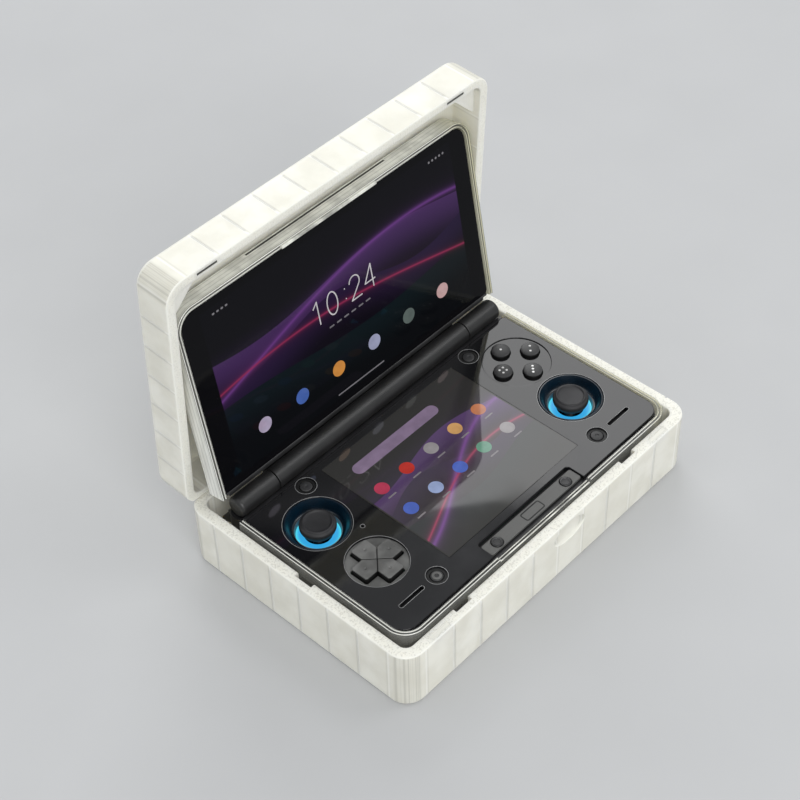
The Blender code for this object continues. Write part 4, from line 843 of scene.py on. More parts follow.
@dataclass(frozen=True)
class Moulded(Finish):
    """Moulded plastic or rubber: one tone with a fine grain."""

    colour: Colour
    roughness: float = 0.5
    grain: float = 0.25 * MM
    depth: float = 0.02 * MM
    variation: float = 0.25
    specular: float = 0.5

    def paint(self) -> None:
        """Clouds the tone and the gloss, and adds the grain."""
        brush = self.brush
        low, high = (tuple(part * share for part in self.colour) for share in about(1.0, self.variation))
        colour = brush.mix(brush.fade(brush.noise(9 * MM), 0.35, 0.65), low, high)
        gloss = brush.ramp(brush.noise(3 * MM, 2.0), self.roughness * 0.9, self.roughness * 1.1)
        brush.set(base_color=colour, roughness=gloss, specular_ior_level=self.specular)
        brush.bump(brush.noise(self.grain, 2.0), self.depth, 0.6)


@dataclass(frozen=True)
class GlossSheet(Finish):
    """A deep glossy panel with faint smudges."""

    colour: Colour = (0.006, 0.006, 0.007)
    roughness: float = 0.05

    def paint(self) -> None:
        """Lays the smudges over the gloss."""
        brush = self.brush
        smudge = brush.fade(brush.noise(22 * MM, 4.0), 0.45, 0.75)
        lighter = tuple(part * 1.6 + 0.002 for part in self.colour)
        brush.set(base_color=brush.mix(smudge, self.colour, lighter),
                  roughness=brush.ramp(smudge, self.roughness, self.roughness * 2.0), specular_ior_level=0.5)


@dataclass(frozen=True)
class ClearAcrylic(Finish):
    """Clear moulded acrylic whose eased edges are painted pale as highlights, milky in its upright walls."""

    up: Point3 = (0.0, 0.0, 1.0)
    milk: float = 0.12
    flat: float = 0.45
    line_pitch: float = 1.9 * MM
    line_strength: float = 0.35
    colour: Colour = (0.90, 0.90, 0.84)
    deep: Colour = (0.055, 0.055, 0.05)
    yellow: Colour = (0.80, 0.77, 0.50)
    line_tint: Colour = (0.30, 0.30, 0.27)
    yellow_from: Place = (60.0 * MM, 76.0 * MM)

    def paint(self) -> None:
        """Covers edges, walls and flats differently, and leaves the rest clear."""
        brush = self.brush
        slope = brush.unsigned(brush.facing(self.up))
        # edge: the sloped faces of the eased edges, painted pale and nearly opaque as highlights
        edge = brush.times(brush.fade(slope, 0.12, 0.30), brush.fade(slope, 0.985, 0.90))
        wall, flat = brush.fade(slope, 0.25, 0.05), brush.fade(slope, 0.97, 0.99)
        streak = brush.fade(brush.noise(9 * MM, 4.0, (1.0, 1.0, 0.25)), 0.35, 0.65)
        milky = brush.times(wall, brush.ramp(streak, self.milk * 0.8, self.milk * 1.15))
        glancing = brush.add("ShaderNodeLayerWeight", {"Blend": 0.35}, "Facing")
        haze = brush.times(brush.math("POWER", glancing, 2.5), 0.25)
        cover = brush.math("ADD", haze, brush.times(flat, self.flat))
        alpha = brush.math("MAXIMUM", brush.math("MAXIMUM", cover, milky), brush.times(edge, 0.9))
        right = brush.times(brush.fade(brush.along((1, 0, 0)), *self.yellow_from), 0.7)
        rib = brush.math("SINE", brush.times(brush.along(self.up), math.tau / self.line_pitch))
        ribbed = brush.times(brush.fade(rib, 0.55, 0.95), wall, self.line_strength)
        bright = brush.mix(ribbed, brush.mix(right, self.colour, self.yellow), self.line_tint)
        brush.set(base_color=brush.mix(brush.math("MAXIMUM", edge, wall), self.deep, bright), roughness=0.06,
                  alpha=brush.math("MINIMUM", alpha, 1.0), specular_ior_level=0.8)


@dataclass(frozen=True)
class Metal(Finish):
    """Bare or plated metal with a fine brushed grain."""

    colour: Colour
    roughness: float = 0.3
    metallic: float = 1.0

    def paint(self) -> None:
        """Draws the grain out along X."""
        brush = self.brush
        grain = brush.noise(0.5 * MM, 3.0, (0.04, 1, 1))
        low = tuple(part * 0.8 for part in self.colour)
        brush.set(base_color=brush.mix(grain, low, self.colour), metallic=self.metallic,
                  roughness=brush.ramp(grain, self.roughness * 0.8, self.roughness * 1.3))
        brush.bump(grain, 0.01 * MM, 0.3)


@dataclass(frozen=True)
class Glow(Finish):
    """A plain luminous finish for marks on a screen, with the screen's own gloss."""

    colour: Colour
    strength: float = 1.0

    def paint(self) -> None:
        """Lets the light vary a little."""
        brush = self.brush
        cloud = brush.fade(brush.noise(5 * MM, 2.0), 0.3, 0.7)
        dim = tuple(part * 0.82 for part in self.colour)
        brush.set(emission_color=brush.mix(cloud, dim, self.colour), emission_strength=self.strength,
                  base_color=(0.01, 0.01, 0.01), roughness=0.06)


@dataclass(frozen=True)
class LightRing(Finish):
    """The luminous ring round a stick, whiter towards its outer edge."""

    centre: Point3
    inner: float
    outer: float
    deep: Colour = (0.020, 0.40, 0.80)
    pale: Colour = (0.060, 0.72, 0.92)

    def paint(self) -> None:
        """Blends from the deep to the pale blue outwards."""
        brush = self.brush
        flat = brush.vector("MULTIPLY", brush.vector("SUBTRACT", brush.place, self.centre), (1, 1, 0))
        radius = brush.add("ShaderNodeVectorMath", {0: flat}, "Value", operation="LENGTH")
        span = brush.fade(radius, self.inner + (self.outer - self.inner) * 0.55, self.outer)
        brush.set(emission_color=brush.mix(span, self.deep, self.pale), emission_strength=0.9,
                  base_color=(0.06, 0.08, 0.09), roughness=0.4)
        brush.bump(brush.noise(0.8 * MM), 0.02 * MM, 0.3)


class ScreenDesign(Enum):
    """Which of the two screens a picture is for."""

    UPPER = "upper"
    LOWER = "lower"


@dataclass(frozen=True)
class Look:
    """What differs between the two screens' glass and picture.

    A wave is its height, swing, pace and phase; a band is its height, lift, phase and width. Heights and
    widths are shares of half the picture's length.
    """

    ground: Colour
    strength: float
    specular: float
    bands: tuple[tuple[float, ...], ...]
    waves: tuple[tuple[float, ...], ...]


LOOKS = {
    ScreenDesign.UPPER: Look(
        (0.004, 0.004, 0.005), 0.72, 0.06, ((0.10, 0.42, 0.9, 0.020), (-0.20, 0.30, 2.1, 0.011)),
        ((0.42, 0.10, 3.1, 0.4), (0.12, 0.13, 4.3, 2.0), (-0.25, 0.09, 2.6, 4.1))),
    ScreenDesign.LOWER: Look(
        (0.030, 0.029, 0.026), 0.9, 0.5, ((-0.30, 0.55, 0.3, 0.030), (-0.52, 0.40, 0.9, 0.014)),
        ((0.30, 0.12, 2.6, 0.9), (-0.05, 0.15, 3.4, 3.0), (-0.45, 0.10, 2.9, 5.0))),
}


@dataclass(frozen=True)
class ScreenPicture(Finish):
    """A generic violet dusk of soft waves and two bright bands, behind glossy glass."""

    design: ScreenDesign
    middle: Point3
    along: Point3
    half_width: float
    half_length: float
    sky: tuple[Colour, Colour] = ((0.018, 0.008, 0.036), (0.001, 0.001, 0.002))
    wave_tints: tuple[Colour, ...] = ((0.060, 0.024, 0.105), (0.018, 0.008, 0.038), (0.002, 0.008, 0.010))
    band_tints: tuple[Colour, ...] = ((0.17, 0.05, 0.27), (0.36, 0.03, 0.10))

    def paint(self) -> None:
        """Draws the picture in the screen's own shares, black outside it."""
        brush, look = self.brush, LOOKS[self.design]
        across = brush.math("DIVIDE", brush.along((1, 0, 0), self.middle), self.half_width)
        rise = brush.math("DIVIDE", brush.along(self.along, self.middle), self.half_length)
        inside = brush.times(brush.fade(brush.unsigned(across), 1.0, 0.992),
                             brush.fade(brush.unsigned(rise), 1.0, 0.988))
        colour = brush.mix(brush.fade(rise, 0.0, 0.55), *self.sky)
        for (height, swing, pace, phase), tint in zip(look.waves, self.wave_tints):
            edge = brush.math("ADD", brush.times(self.swell(across, pace, phase), swing), height)
            below = brush.math("SUBTRACT", edge, rise)
            shade = brush.mix(brush.fade(below, 0.0, 0.5), tint, tuple(part * 0.12 for part in tint))
            colour = brush.mix(brush.fade(below, -0.006, 0.006), colour, shade)
        for (height, lift, phase, width), tint in zip(look.bands, self.band_tints):
            centre = brush.math("ADD", brush.times(self.swell(across, 1.3, phase), lift), height)
            gap = brush.math("DIVIDE", brush.math("SUBTRACT", rise, centre), width)
            glow = brush.math("DIVIDE", 1.0, brush.math("ADD", brush.times(gap, gap), 1.0))
            colour = brush.mix(brush.times(glow, 0.85), colour, tint)
        smudge = brush.fade(brush.noise(18 * MM, 4.0), 0.45, 0.75)
        brush.set(emission_color=brush.mix(inside, (0.0, 0.0, 0.0), colour), emission_strength=look.strength,
                  base_color=look.ground, roughness=brush.ramp(smudge, 0.03, 0.07),
                  specular_ior_level=look.specular)

    def swell(self, across: Socket, pace: float, phase: float) -> Socket:
        """A sine wave across the picture."""
        return self.brush.math("SINE", self.brush.math("ADD", self.brush.times(across, pace), phase))


@dataclass(frozen=True)
class CircuitBoard(Finish):
    """Green board with copper lanes."""

    cell: float = 2.4 * MM
    green: Colour = (0.008, 0.075, 0.040)
    copper: Colour = (0.05, 0.17, 0.07)

    def paint(self) -> None:
        """Runs the lanes along the edges of square cells."""
        brush = self.brush
        cells = brush.add("ShaderNodeTexVoronoi", {"Vector": brush.place, "Scale": 1 / self.cell}, "Distance",
                          feature="DISTANCE_TO_EDGE", distance="CHEBYCHEV")
        lane = brush.fade(cells, 0.09, 0.04)
        brush.set(base_color=brush.mix(lane, self.green, self.copper), roughness=0.38)
        brush.bump(lane, 0.03 * MM, 0.5)


@dataclass(frozen=True)
class CellWrap(Finish):
    """The battery's dull wrap with fine creases."""

    dark: Colour = (0.05, 0.05, 0.056)
    light: Colour = (0.13, 0.13, 0.14)

    def paint(self) -> None:
        """Creases the wrap across its length."""
        brush = self.brush
        crease = brush.noise(7 * MM, 5.0, (1, 0.3, 1))
        brush.set(base_color=brush.mix(crease, self.dark, self.light), roughness=0.42, metallic=0.35)
        brush.bump(crease, 0.15 * MM, 0.4)


class Finishes:
    """Every shared finish of the object, made once."""

    def __init__(self) -> None:
        """Makes the materials."""
        self.case_base = PrintedPlastic("printed_base", origin=(0, 0, CarryCase.base_height)).make()
        self.case_lid = PrintedPlastic("printed_lid", CASE_HINGE.up, CASE_HINGE.along, tuple(CASE_HINGE.axis),
                                       speckle=0.2).make()
        self.clear_base = ClearAcrylic("clear_base").make()
        self.clear_lid = ClearAcrylic("clear_lid", CONSOLE_HINGE.up, 0.85, 0.6).make()
        self.gloss = GlossSheet("gloss_black").make()
        self.matt = Moulded("matt_black", (0.019, 0.019, 0.019), 0.32).make()
        self.barrel = Moulded("barrel_black", (0.011, 0.011, 0.011), 0.40, specular=0.62).make()
        self.deck = Moulded("deck_black", (0.014, 0.014, 0.015), 0.30, 0.2 * MM, 0.01 * MM).make()
        self.rubber = Moulded("stick_rubber", (0.020, 0.020, 0.022), 0.55, 0.3 * MM, 0.03 * MM).make()
        self.button = Moulded("button_plastic", (0.030, 0.030, 0.031), 0.42).make()
        self.button_side = Moulded("button_side", (0.004, 0.004, 0.004), 0.5).make()
        self.pad = Moulded("pad_plastic", (0.135, 0.135, 0.130), 0.45, 0.9 * MM, 0.03 * MM, 0.3).make()
        # dark blue-black gloss whose blue tint is painted reflection of the rings' cyan light
        self.well = Moulded("well_blue", (0.0015, 0.009, 0.018), 0.22, 0.5 * MM, 0.004 * MM).make()
        self.collar = Moulded("well_collar", (0.13, 0.135, 0.14), 0.32).make()
        self.tab = Metal("tab_grey", (0.125, 0.125, 0.120), 0.40, 0.2).make()
        self.mark = Moulded("mark_white", (0.80, 0.80, 0.78), 0.5).make()
        # grey for the flat rings round the plate's holes: painted highlight on their edges
        self.edge_highlight = Moulded("edge_highlight_grey", (0.30, 0.30, 0.30), 0.3).make()
        # pale opaque finish for the clear covers' rail and crest lines: painted highlight
        self.glimmer = Moulded("acrylic_glimmer", (0.62, 0.62, 0.56), 0.12, 2.2 * MM, 0.25 * MM, 0.45).make()
        self.steel = Metal("steel", (0.56, 0.56, 0.57)).make()
        self.magnet = Metal("magnet_plate", (0.86, 0.85, 0.77), 0.35, 0.2).make()
        self.magnet_dark = Metal("magnet_dark", (0.10, 0.10, 0.09), 0.4, 0.5).make()
        self.gunmetal = Metal("gunmetal", (0.16, 0.16, 0.17), 0.35).make()
        self.board = CircuitBoard("circuit_board").make()
        self.cell = CellWrap("cell_wrap").make()


@dataclass
class Assembly:
    """A sub-assembly that takes its looks from the shared finishes."""

    looks: Finishes


@dataclass(frozen=True)
class Tray:
    """A rounded tray between its closed side, the base, and its rim above or below it."""

    half: float
    limits: Place
    corner: float
    base: float
    rim: float
    wall: float
    floor: float
    edge: float
    ease: float
    lip: Optional[Outline] = None
    cove: float = 0.0

    def ring(self, gap: float) -> list[Place]:
        """The outline at an inset."""
        limits = self.limits[0] + gap, self.limits[1] - gap
        return rounded(self.half - gap, *limits, max(self.corner - gap, self.ease))

    def shape(self) -> Shape:
        """Skins the tray from its closed side round its rim to its inner floor.

        Returns:
            The shape.
        """
        way, wall = math.copysign(1, self.rim - self.base), self.wall
        floor, lip = self.base + way * self.floor, self.lip
        levels = [(self.ring(self.edge + across), self.base + way * (self.edge - height))
                  for across, height in arc(self.edge, 180, 90)[::-1]]
        if lip is None:
            quarter = [(self.ease - a, self.ease - b) for a, b in arc(self.ease, 0, 90)]
            lip = quarter + [(wall - gap, drop) for gap, drop in reversed(quarter)]
        levels.extend((self.ring(gap), self.rim - way * drop) for gap, drop in lip)
        if self.cove:
            levels.extend((self.ring(wall + self.cove + across), floor + way * (self.cove - height))
                          for across, height in arc(self.cove, 180, 90))
        else:
            levels.append((self.ring(wall), floor))
        return Shape().levels(levels)


@dataclass
class CarryCase(Assembly):
    """The printed case: base, lid, their magnets and pins."""

    wall: float = 4.2 * MM
    base_wall: float = 5.0 * MM
    base_height: float = 28.3 * MM
    base_floor: float = 4.0 * MM
    lid_floor: float = 2.8 * MM
    corner: float = 8.5 * MM
    base_edge: float = 2.0 * MM
    lid_edge: float = 3.15 * MM
    rim_ease: float = 0.6 * MM
    cove: float = 1.5 * MM
    rib_height: float = 7.3 * MM
    rib_width: float = 3.0 * MM
    rib_length: float = 72.0 * MM
    rib_shares: tuple[float, ...] = (-0.75, -0.3, 0.3, 0.75)
    relief_width: float = 8.4 * MM
    relief_depth: float = 2.0 * MM
    relief_drop: float = 14.0 * MM
    scoop_size: Point3 = (18.5 * MM, 1.6 * MM, 10.0 * MM)
    scoop_shares: Place = (0.09, 0.78)
    scoop_turn: float = 88.0
    knuckle_radius: float = 2.2 * MM
    knuckle_length: float = 10.0 * MM
    knuckle_share: float = 0.6
    knuckle_steps: int = 40
    gap: float = 0.3 * MM
    wedge_lead: float = 0.2 * MM
    magnet_slack: float = 0.05 * MM
    nick_place: float = -45.2 * MM
    nick_size: float = 0.9 * MM
    web_gap: float = 0.5 * MM
    web_thickness: float = 1.0 * MM
    web_leg: float = 15.5 * MM
    web_drops: Place = (3.45 * MM, 8.6 * MM)

    @property
    def half(self) -> float:
        """Half the case's width."""
        return Box.of("case_base").high.x

    @property
    def front(self) -> float:
        """The base's front limit; the rear one lies as far behind the middle."""
        return Box.of("case_base").low.y

    def build(self) -> None:
        """Makes both halves and dresses what stays of the CAD."""
        self.base_half()
        self.lid_half()
        for _, label in SIDES:
            coat(f"case_hinge_pin_{label}", self.looks.steel)
            coat(f"base_magnet_{label}", self.looks.magnet)
            coat(f"lid_magnet_{label}", self.looks.magnet_dark)

    def knuckles(self, base: bool, y: float, z: float, room: float = 0.0) -> Shape:
        """Hinge knuckles, or the room that they need.

        Args:
            base: Whether they are the base's, not the lid's.
            y: Place of the axis.
            z: Height of the axis.
            room: How far the shapes are grown.

        Returns:
            The shapes.
        """
        shape, radius, step = Shape(), self.knuckle_radius + room, self.knuckle_length + self.gap
        for side, _ in SIDES:
            middle = side * self.knuckle_share * self.half
            for place in (about(middle, step) if base else (middle,)):
                ends = about(place, self.knuckle_length / 2 + room)
                shape.spin([(radius, end) for end in ends], (0, y, z), Spindle.ACROSS, self.knuckle_steps)
        return shape

    def rear_wedge(self, y: float, z: float, way: int) -> Shape:
        """The strip off a rear rim that lets the case open.

        Args:
            y: Where the strip starts.
            z: Height of the rim.
            way: 1 where the rim faces up, -1 where it faces down.

        Returns:
            The strip.
        """
        start, run = y - self.wedge_lead, -self.front - CASE_HINGE.axis.y + OVERCUT
        out = z + way * OVERCUT
        outline = [(start - OVERCUT, out), (start + run, out), (start + run, z - way * run)]
        return Shape().loft([[(x, a, b) for a, b in outline] for x in about(0.0, self.half + OVERCUT)])

    def base_half(self) -> None:
        """The lower tray with its ribs, reliefs, scoop and knuckles."""
        tray = Tray(self.half, (self.front, -self.front), self.corner, 0.0, self.base_height,
                    self.base_wall, self.base_floor, self.base_edge, self.rim_ease)
        item = tray.shape().object("case_base_tray", self.looks.case_base)
        rear, console_half = Box.of("lower_clear_shell").high.y, Box.of("face_plate").high.x
        heights = (self.base_floor - OVERCUT, self.base_floor + self.rib_height)
        ribs = Shape().add(*(block(about(share * console_half, self.rib_width / 2),
                                   (rear - self.rib_length, rear), heights) for share in self.rib_shares))
        item = carve(item, ribs, Carving.JOIN)
        axis = CASE_HINGE.axis
        item = carve(item, self.rear_wedge(axis.y, self.base_height, 1))
        item = carve(item, self.knuckles(True, axis.y, axis.z), Carving.JOIN)
        item = carve(item, self.knuckles(False, axis.y, axis.z, self.gap).add(self.reliefs()))
        mount(item, ROOT, Slot.CASE, "case_base")
        top = self.base_height - (-self.front - axis.y + self.gap * 2)
        bare = about(self.scoop_shares[0] * self.half, self.scoop_size[0] / 2)
        limits = (self.front, -self.front)
        beads = WallBeads("case_base_beads", self.half, limits, (self.base_edge, top), bare)
        mount(beads.build(self.looks.case_base), ROOT, Slot.CASE)

    def reliefs(self) -> Shape:
        """Cuts in the inner walls beside ports and power key, for the magnets, the thumb scoop and the nick.

        Returns:
            All the cuts.
        """
        rim, half = self.base_height, self.relief_width / 2
        heights = (rim - self.relief_drop, rim + OVERCUT)
        cuts = Shape()
        wall = self.front + self.base_wall
        for node in ("headphone_jack", "card_slot"):
            depths = (wall - self.relief_depth, wall + OVERCUT)
            cuts.add(block(about(Box.of(node).centre.x, half), depths, heights))
        wall = -self.half + self.base_wall
        key = Box.of("power_button").centre.y
        cuts.add(block((wall - self.relief_depth, wall + OVERCUT), about(key, half), heights))
        for _, label in SIDES:
            magnet = Box.of(f"base_magnet_{label}")
            cuts.add(block(magnet.reach(0, self.magnet_slack), magnet.reach(1, self.magnet_slack),
                           (magnet.low.z, rim + OVERCUT)))
        width, depth, height = self.scoop_size
        middle = (self.scoop_shares[0] * self.half, self.front, self.scoop_shares[1] * rim)
        bowl = Shape().spin(arc(1.0, -self.scoop_turn, self.scoop_turn, 16))
        bowl.points = [(middle[0] + x * width / 2, middle[1] + z * depth, middle[2] + y * height / 2)
                       for x, y, z in bowl.points]
        nick = self.nick_size
        outline = [(self.half - nick, rim - nick), (self.half + OVERCUT, rim - nick * 2),
                   (self.half + OVERCUT, rim + OVERCUT), (self.half - nick, rim + OVERCUT)]
        rings = [[(a, self.nick_place + reach, b) for a, b in outline] for reach in about(0.0, nick / 2)]
        return cuts.add(bowl, Shape().loft(rings))

    def lid_half(self) -> None:
        """The upper tray with its cove, pockets and knuckles."""
        cad = CASE_HINGE.box_of("case_lid")
        front, rear = cad.low.y, -self.front - CASE_HINGE.axis.y
        rim, top = self.gap / 2, cad.high.z
        tray = Tray(self.half, (front, rear), self.corner, top, rim, self.wall, self.lid_floor,
                    self.lid_edge, self.rim_ease, cove=self.cove)
        item = tray.shape().object("case_lid_tray", self.looks.case_lid)
        item = carve(item, self.rear_wedge(0, rim, -1))
        item = carve(item, self.knuckles(False, 0, 0), Carving.JOIN)
        item = carve(item, self.knuckles(True, 0, 0, self.gap))
        pockets = Shape()
        for _, label in SIDES:
            magnet = CASE_HINGE.box_of(f"lid_magnet_{label}")
            pockets.add(block(magnet.reach(0, self.magnet_slack), magnet.reach(1, self.magnet_slack),
                              (rim - OVERCUT, magnet.high.z)))
        item = carve(item, pockets)
        item.data.transform(CASE_HINGE.matrix)
        mount(item, CASE_LID_BODY, Slot.CASE, "case_lid")
        self.corner_webs(front)
        span = (rim + rear + self.gap * 2, top - self.lid_edge)
        beads = WallBeads("case_lid_beads", self.half, (front, rear), span)
        mount(beads.build(self.looks.case_lid, CASE_HINGE.matrix), CASE_LID_BODY, Slot.CASE)

    def corner_webs(self, front: float) -> None:
        """The two flat webs across each front corner inside the lid, clear of the console's round corner.

        Args:
            front: The lid's front limit.
        """
        shell, corner = Box.of("lower_clear_shell"), ClearShells.corner
        y = shell.low.y + corner - CASE_HINGE.axis.y
        inner = self.wall - self.gap
        webs = Shape()
        for side, _ in SIDES:
            x = side * (shell.high.x - corner)
            turn = (-90.0, 0.0) if side > 0 else (180.0, 270.0)
            bow = [(x + a, y + b) for a, b in arc(corner + self.web_gap, *turn, 16)]
            tip = (side * (self.half - inner), front + inner)
            gusset = [tip, (tip[0], tip[1] + self.web_leg), (tip[0] - side * self.web_leg, tip[1])]
            for outline, drop in zip((gusset, bow + [tip]), self.web_drops):
                webs.bar(outline, drop, drop + self.web_thickness)
        item = webs.object("case_lid_webs", self.looks.case_lid, CASE_HINGE.matrix)
        mount(item, CASE_LID_BODY, Slot.CASE)


@dataclass
class WallBeads:
    """Flat beads at the seams of a tray's four walls, set out by geometry nodes."""

    name: str
    half: float
    limits: Place
    span: Place
    bare: Optional[Place] = None
    radius: float = 1.6 * MM
    proud: float = 0.05 * MM
    corner_room: float = 10.5 * MM
    steps: int = 32

    def build(self, material: Material, matrix: Optional[Matrix] = None) -> Item:
        """Makes the beads, sunk so that only a sliver of each one stands proud.

        Args:
            material: The wall's own finish.
            matrix: Takes the beads to their place.

        Returns:
            The new object.
        """
        curve = bpy.data.curves.new(self.name + "_path", "CURVE")
        curve.dimensions = "3D"
        for ends in self.walls():
            draw_line(curve, ends, (self.span[0] + self.span[1]) / 2)
        carrier = stand(self.name + "_path", curve)
        tree = self.tree(material)
        modifier = carrier.modifiers.new("beads", "NODES")
        modifier.node_group = tree
        sizes = {"Pitch": SEAM_PITCH, "Radius": self.radius, "Length": self.span[1] - self.span[0]}
        for entry, value in sizes.items():
            socket = next(part for part in tree.interface.items_tree if part.name == entry)
            modifier[socket.identifier] = value
        return dress(plain_mesh(carrier), self.name, material, matrix)

    def walls(self) -> list[tuple[Place, Place]]:
        """The stretches of wall that carry beads; the front one leaves its bare part out.

        Returns:
            Both ends of each stretch.
        """
        sunk, (front, rear) = self.radius - self.proud, self.limits
        across = (-self.half + self.corner_room, self.half - self.corner_room)
        runs = [across]
        if self.bare:
            runs = [(across[0], self.bare[0] - self.radius), (self.bare[1] + self.radius, across[1])]
        front_runs = [self.seams(*run, SEAM_PHASE[0]) for run in runs]
        rear_run = self.seams(*across, SEAM_PHASE[0])
        side_run = self.seams(front + self.corner_room, rear - self.corner_room, SEAM_PHASE[1])
        walls = [((low, front + sunk), (high, front + sunk)) for low, high in front_runs]
        walls.append(((rear_run[0], rear - sunk), (rear_run[1], rear - sunk)))
        return walls + [((x, side_run[0]), (x, side_run[1])) for x in about(0.0, self.half - sunk)]

    def seams(self, low: float, high: float, phase: float) -> Place:
        """The first and the last seam between two limits."""
        return (phase + math.ceil((low - phase) / SEAM_PITCH) * SEAM_PITCH,
                phase + math.floor((high - phase) / SEAM_PITCH) * SEAM_PITCH)

    def tree(self, material: Material) -> bpy.types.NodeTree:
        """The node tree that stands rods along a curve.

        Args:
            material: The rods' finish.

        Returns:
            The tree, with inputs for pitch, radius and length.
        """
        tree = bpy.data.node_groups.new("wall_beads", "GeometryNodeTree")
        tree.interface.new_socket("Geometry", in_out="INPUT", socket_type="NodeSocketGeometry")
        for entry in ("Pitch", "Radius", "Length"):
            tree.interface.new_socket(entry, in_out="INPUT", socket_type="NodeSocketFloat")
        tree.interface.new_socket("Geometry", in_out="OUTPUT", socket_type="NodeSocketGeometry")
        source, result, points, rod, stance, real, paint = (tree.nodes.new(kind) for kind in (
            "NodeGroupInput", "NodeGroupOutput", "GeometryNodeCurveToPoints", "GeometryNodeMeshCylinder",
            "GeometryNodeInstanceOnPoints", "GeometryNodeRealizeInstances", "GeometryNodeSetMaterial"))
        points.mode = "LENGTH"
        rod.inputs["Vertices"].default_value = self.steps
        paint.inputs["Material"].default_value = material
        for giver, output, taker, entry in (
                (source, "Geometry", points, "Curve"), (source, "Pitch", points, "Length"),
                (source, "Radius", rod, "Radius"), (source, "Length", rod, "Depth"),
                (points, "Points", stance, "Points"), (rod, "Mesh", stance, "Instance"),
                (stance, "Instances", real, "Geometry"), (real, "Geometry", paint, "Geometry"),
                (paint, "Geometry", result, "Geometry")):
            tree.links.new(giver.outputs[output], taker.inputs[entry])
        return tree


@dataclass
class ClearShells(Assembly):
    """The clear covers of both console halves, with their ribbed lips."""

    wall: float = 2.2 * MM
    floor: float = 1.5 * MM
    lid_floor: float = 1.3 * MM
    edge: float = 1.0 * MM
    corner: float = 9.2 * MM
    groove: float = 0.45 * MM
    lip_shares: Outline = ((0.0, 1.6), (0.09, 0.3), (0.16, 0.0), (0.26, 0.0), (0.36, 1.0), (0.64, 1.0),
                                     (0.74, 0.0), (0.84, 0.0), (0.91, 0.3), (1.0, 1.6))
    tab_drop: float = 0.7 * MM
    tab_half: float = 26.4 * MM
    port_slack: float = 0.6 * MM
    inner_slack: float = 0.2 * MM
    rim_drop: float = 0.8 * MM
    clip_half: float = 25.0 * MM
    shadow_strip_half: float = 36.5 * MM
    shadow_strip_drop: float = 2.1 * MM
    shadow_strip_width: float = 0.9 * MM
    shadow_strip_proud: float = 0.04 * MM
    shadow_strip_sunk: float = 0.3 * MM
    shadow_strip_corner: float = 0.1 * MM

    def lip(self) -> list[Place]:
        """The rim's profile: a shallow channel between two eased crests, as inset and drop."""
        return [(across * self.wall, drop * self.groove) for across, drop in self.lip_shares]

    def build(self) -> None:
        """Makes both covers."""
        cad = Box.of("lower_clear_shell")
        tray = Tray(cad.high.x, (cad.low.y, cad.high.y + self.corner * 2), self.corner, cad.low.z,
                    cad.high.z, self.wall, self.floor, self.edge, self.groove, lip=self.lip())
        item = tray.shape().object("lower_clear_cover", self.looks.clear_base)
        sill = Box.of("face_plate").high.z - self.tab_drop
        cuts = self.behind(cad, cad.reach(2, OVERCUT)).add(
            block(about(0.0, self.tab_half), (cad.low.y - OVERCUT, cad.low.y + self.wall + OVERCUT),
                  (sill, cad.high.z + OVERCUT)))
        item = carve(carve(item, cuts), self.port_holes(cad))
        mount(item, ROOT, Slot.COVER, "lower_clear_shell")
        self.lid_cover()

    def behind(self, cad: Box, heights: Place) -> Shape:
        """What lies behind a cover, to cut its tray open at the hinge."""
        return block(cad.reach(0, OVERCUT), (cad.high.y, cad.high.y + self.corner * 3), heights)

    def port_holes(self, cad: Box) -> Shape:
        """The openings beside jack, card slot, power key and fan.

        Args:
            cad: The lower cover's extent.

        Returns:
            The cuts.
        """
        slack, past = self.port_slack, self.wall + self.inner_slack
        cuts = Shape()
        for node in ("headphone_jack", "card_slot"):
            port = Box.of(node)
            depths = (cad.low.y - OVERCUT, cad.low.y + past)
            cuts.add(block(port.reach(0, slack), depths, port.reach(2, slack)))
        key, fan = Box.of("power_button"), Box.of("fan_rotor")
        depths = (cad.low.x - OVERCUT, cad.low.x + past)
        cuts.add(block(depths, key.reach(1, slack * 4), key.reach(2, slack * 2)))
        radius, low = fan.size.x / 2 - OVERCUT, cad.low.z
        hole = [(radius, low - OVERCUT), (radius, low + self.floor + self.inner_slack)]
        return cuts.add(Shape().spin(hole, (fan.centre.x, fan.centre.y, 0)))

    def lid_cover(self) -> None:
        """The cover behind the console's lid, with a pale thumb rail and a painted shadow strip."""
        cad = CONSOLE_HINGE.box_of("lid_clear_shell")
        rim = CONSOLE_HINGE.box_of("upper_glass").low.z - self.rim_drop
        tray = Tray(cad.high.x, (cad.low.y, cad.high.y + self.corner * 2), self.corner, cad.high.z, rim,
                    self.wall, self.lid_floor, self.edge, self.groove, lip=self.lip())
        item = tray.shape().object("lid_clear_cover", self.looks.clear_lid)
        item = carve(item, self.behind(cad, (rim - OVERCUT, cad.high.z + OVERCUT)))
        item.data.transform(CONSOLE_HINGE.matrix)
        mount(item, CONSOLE_LID_BODY, Slot.COVER, "lid_clear_shell")
        # the thumb rail takes the pale glimmer finish: painted highlight
        outline = rounded(self.clip_half, cad.low.y + self.groove, cad.low.y + self.wall * 0.85, self.groove)
        rail = Shape().bar(outline, cad.low.z, rim + self.groove * 2, self.groove / 2)
        # a near-black strip sunk in the cover's front edge: painted shadow of the gap between the case lid's
        # rim and this cover
        limits = (cad.low.y - self.shadow_strip_proud, cad.low.y + self.shadow_strip_sunk)
        slot = rounded(self.shadow_strip_half, *limits, self.shadow_strip_corner, steps=3)
        groove = Shape().bar(slot, *about(cad.high.z - self.shadow_strip_drop, self.shadow_strip_width / 2))
        for name, shape, finish in (("lid_thumb_rail", rail, self.looks.glimmer),
                                    ("lid_shadow_strip", groove, self.looks.button_side)):
            mount(shape.object(name, finish, CONSOLE_HINGE.matrix), CONSOLE_LID_BODY, Slot.COVER)


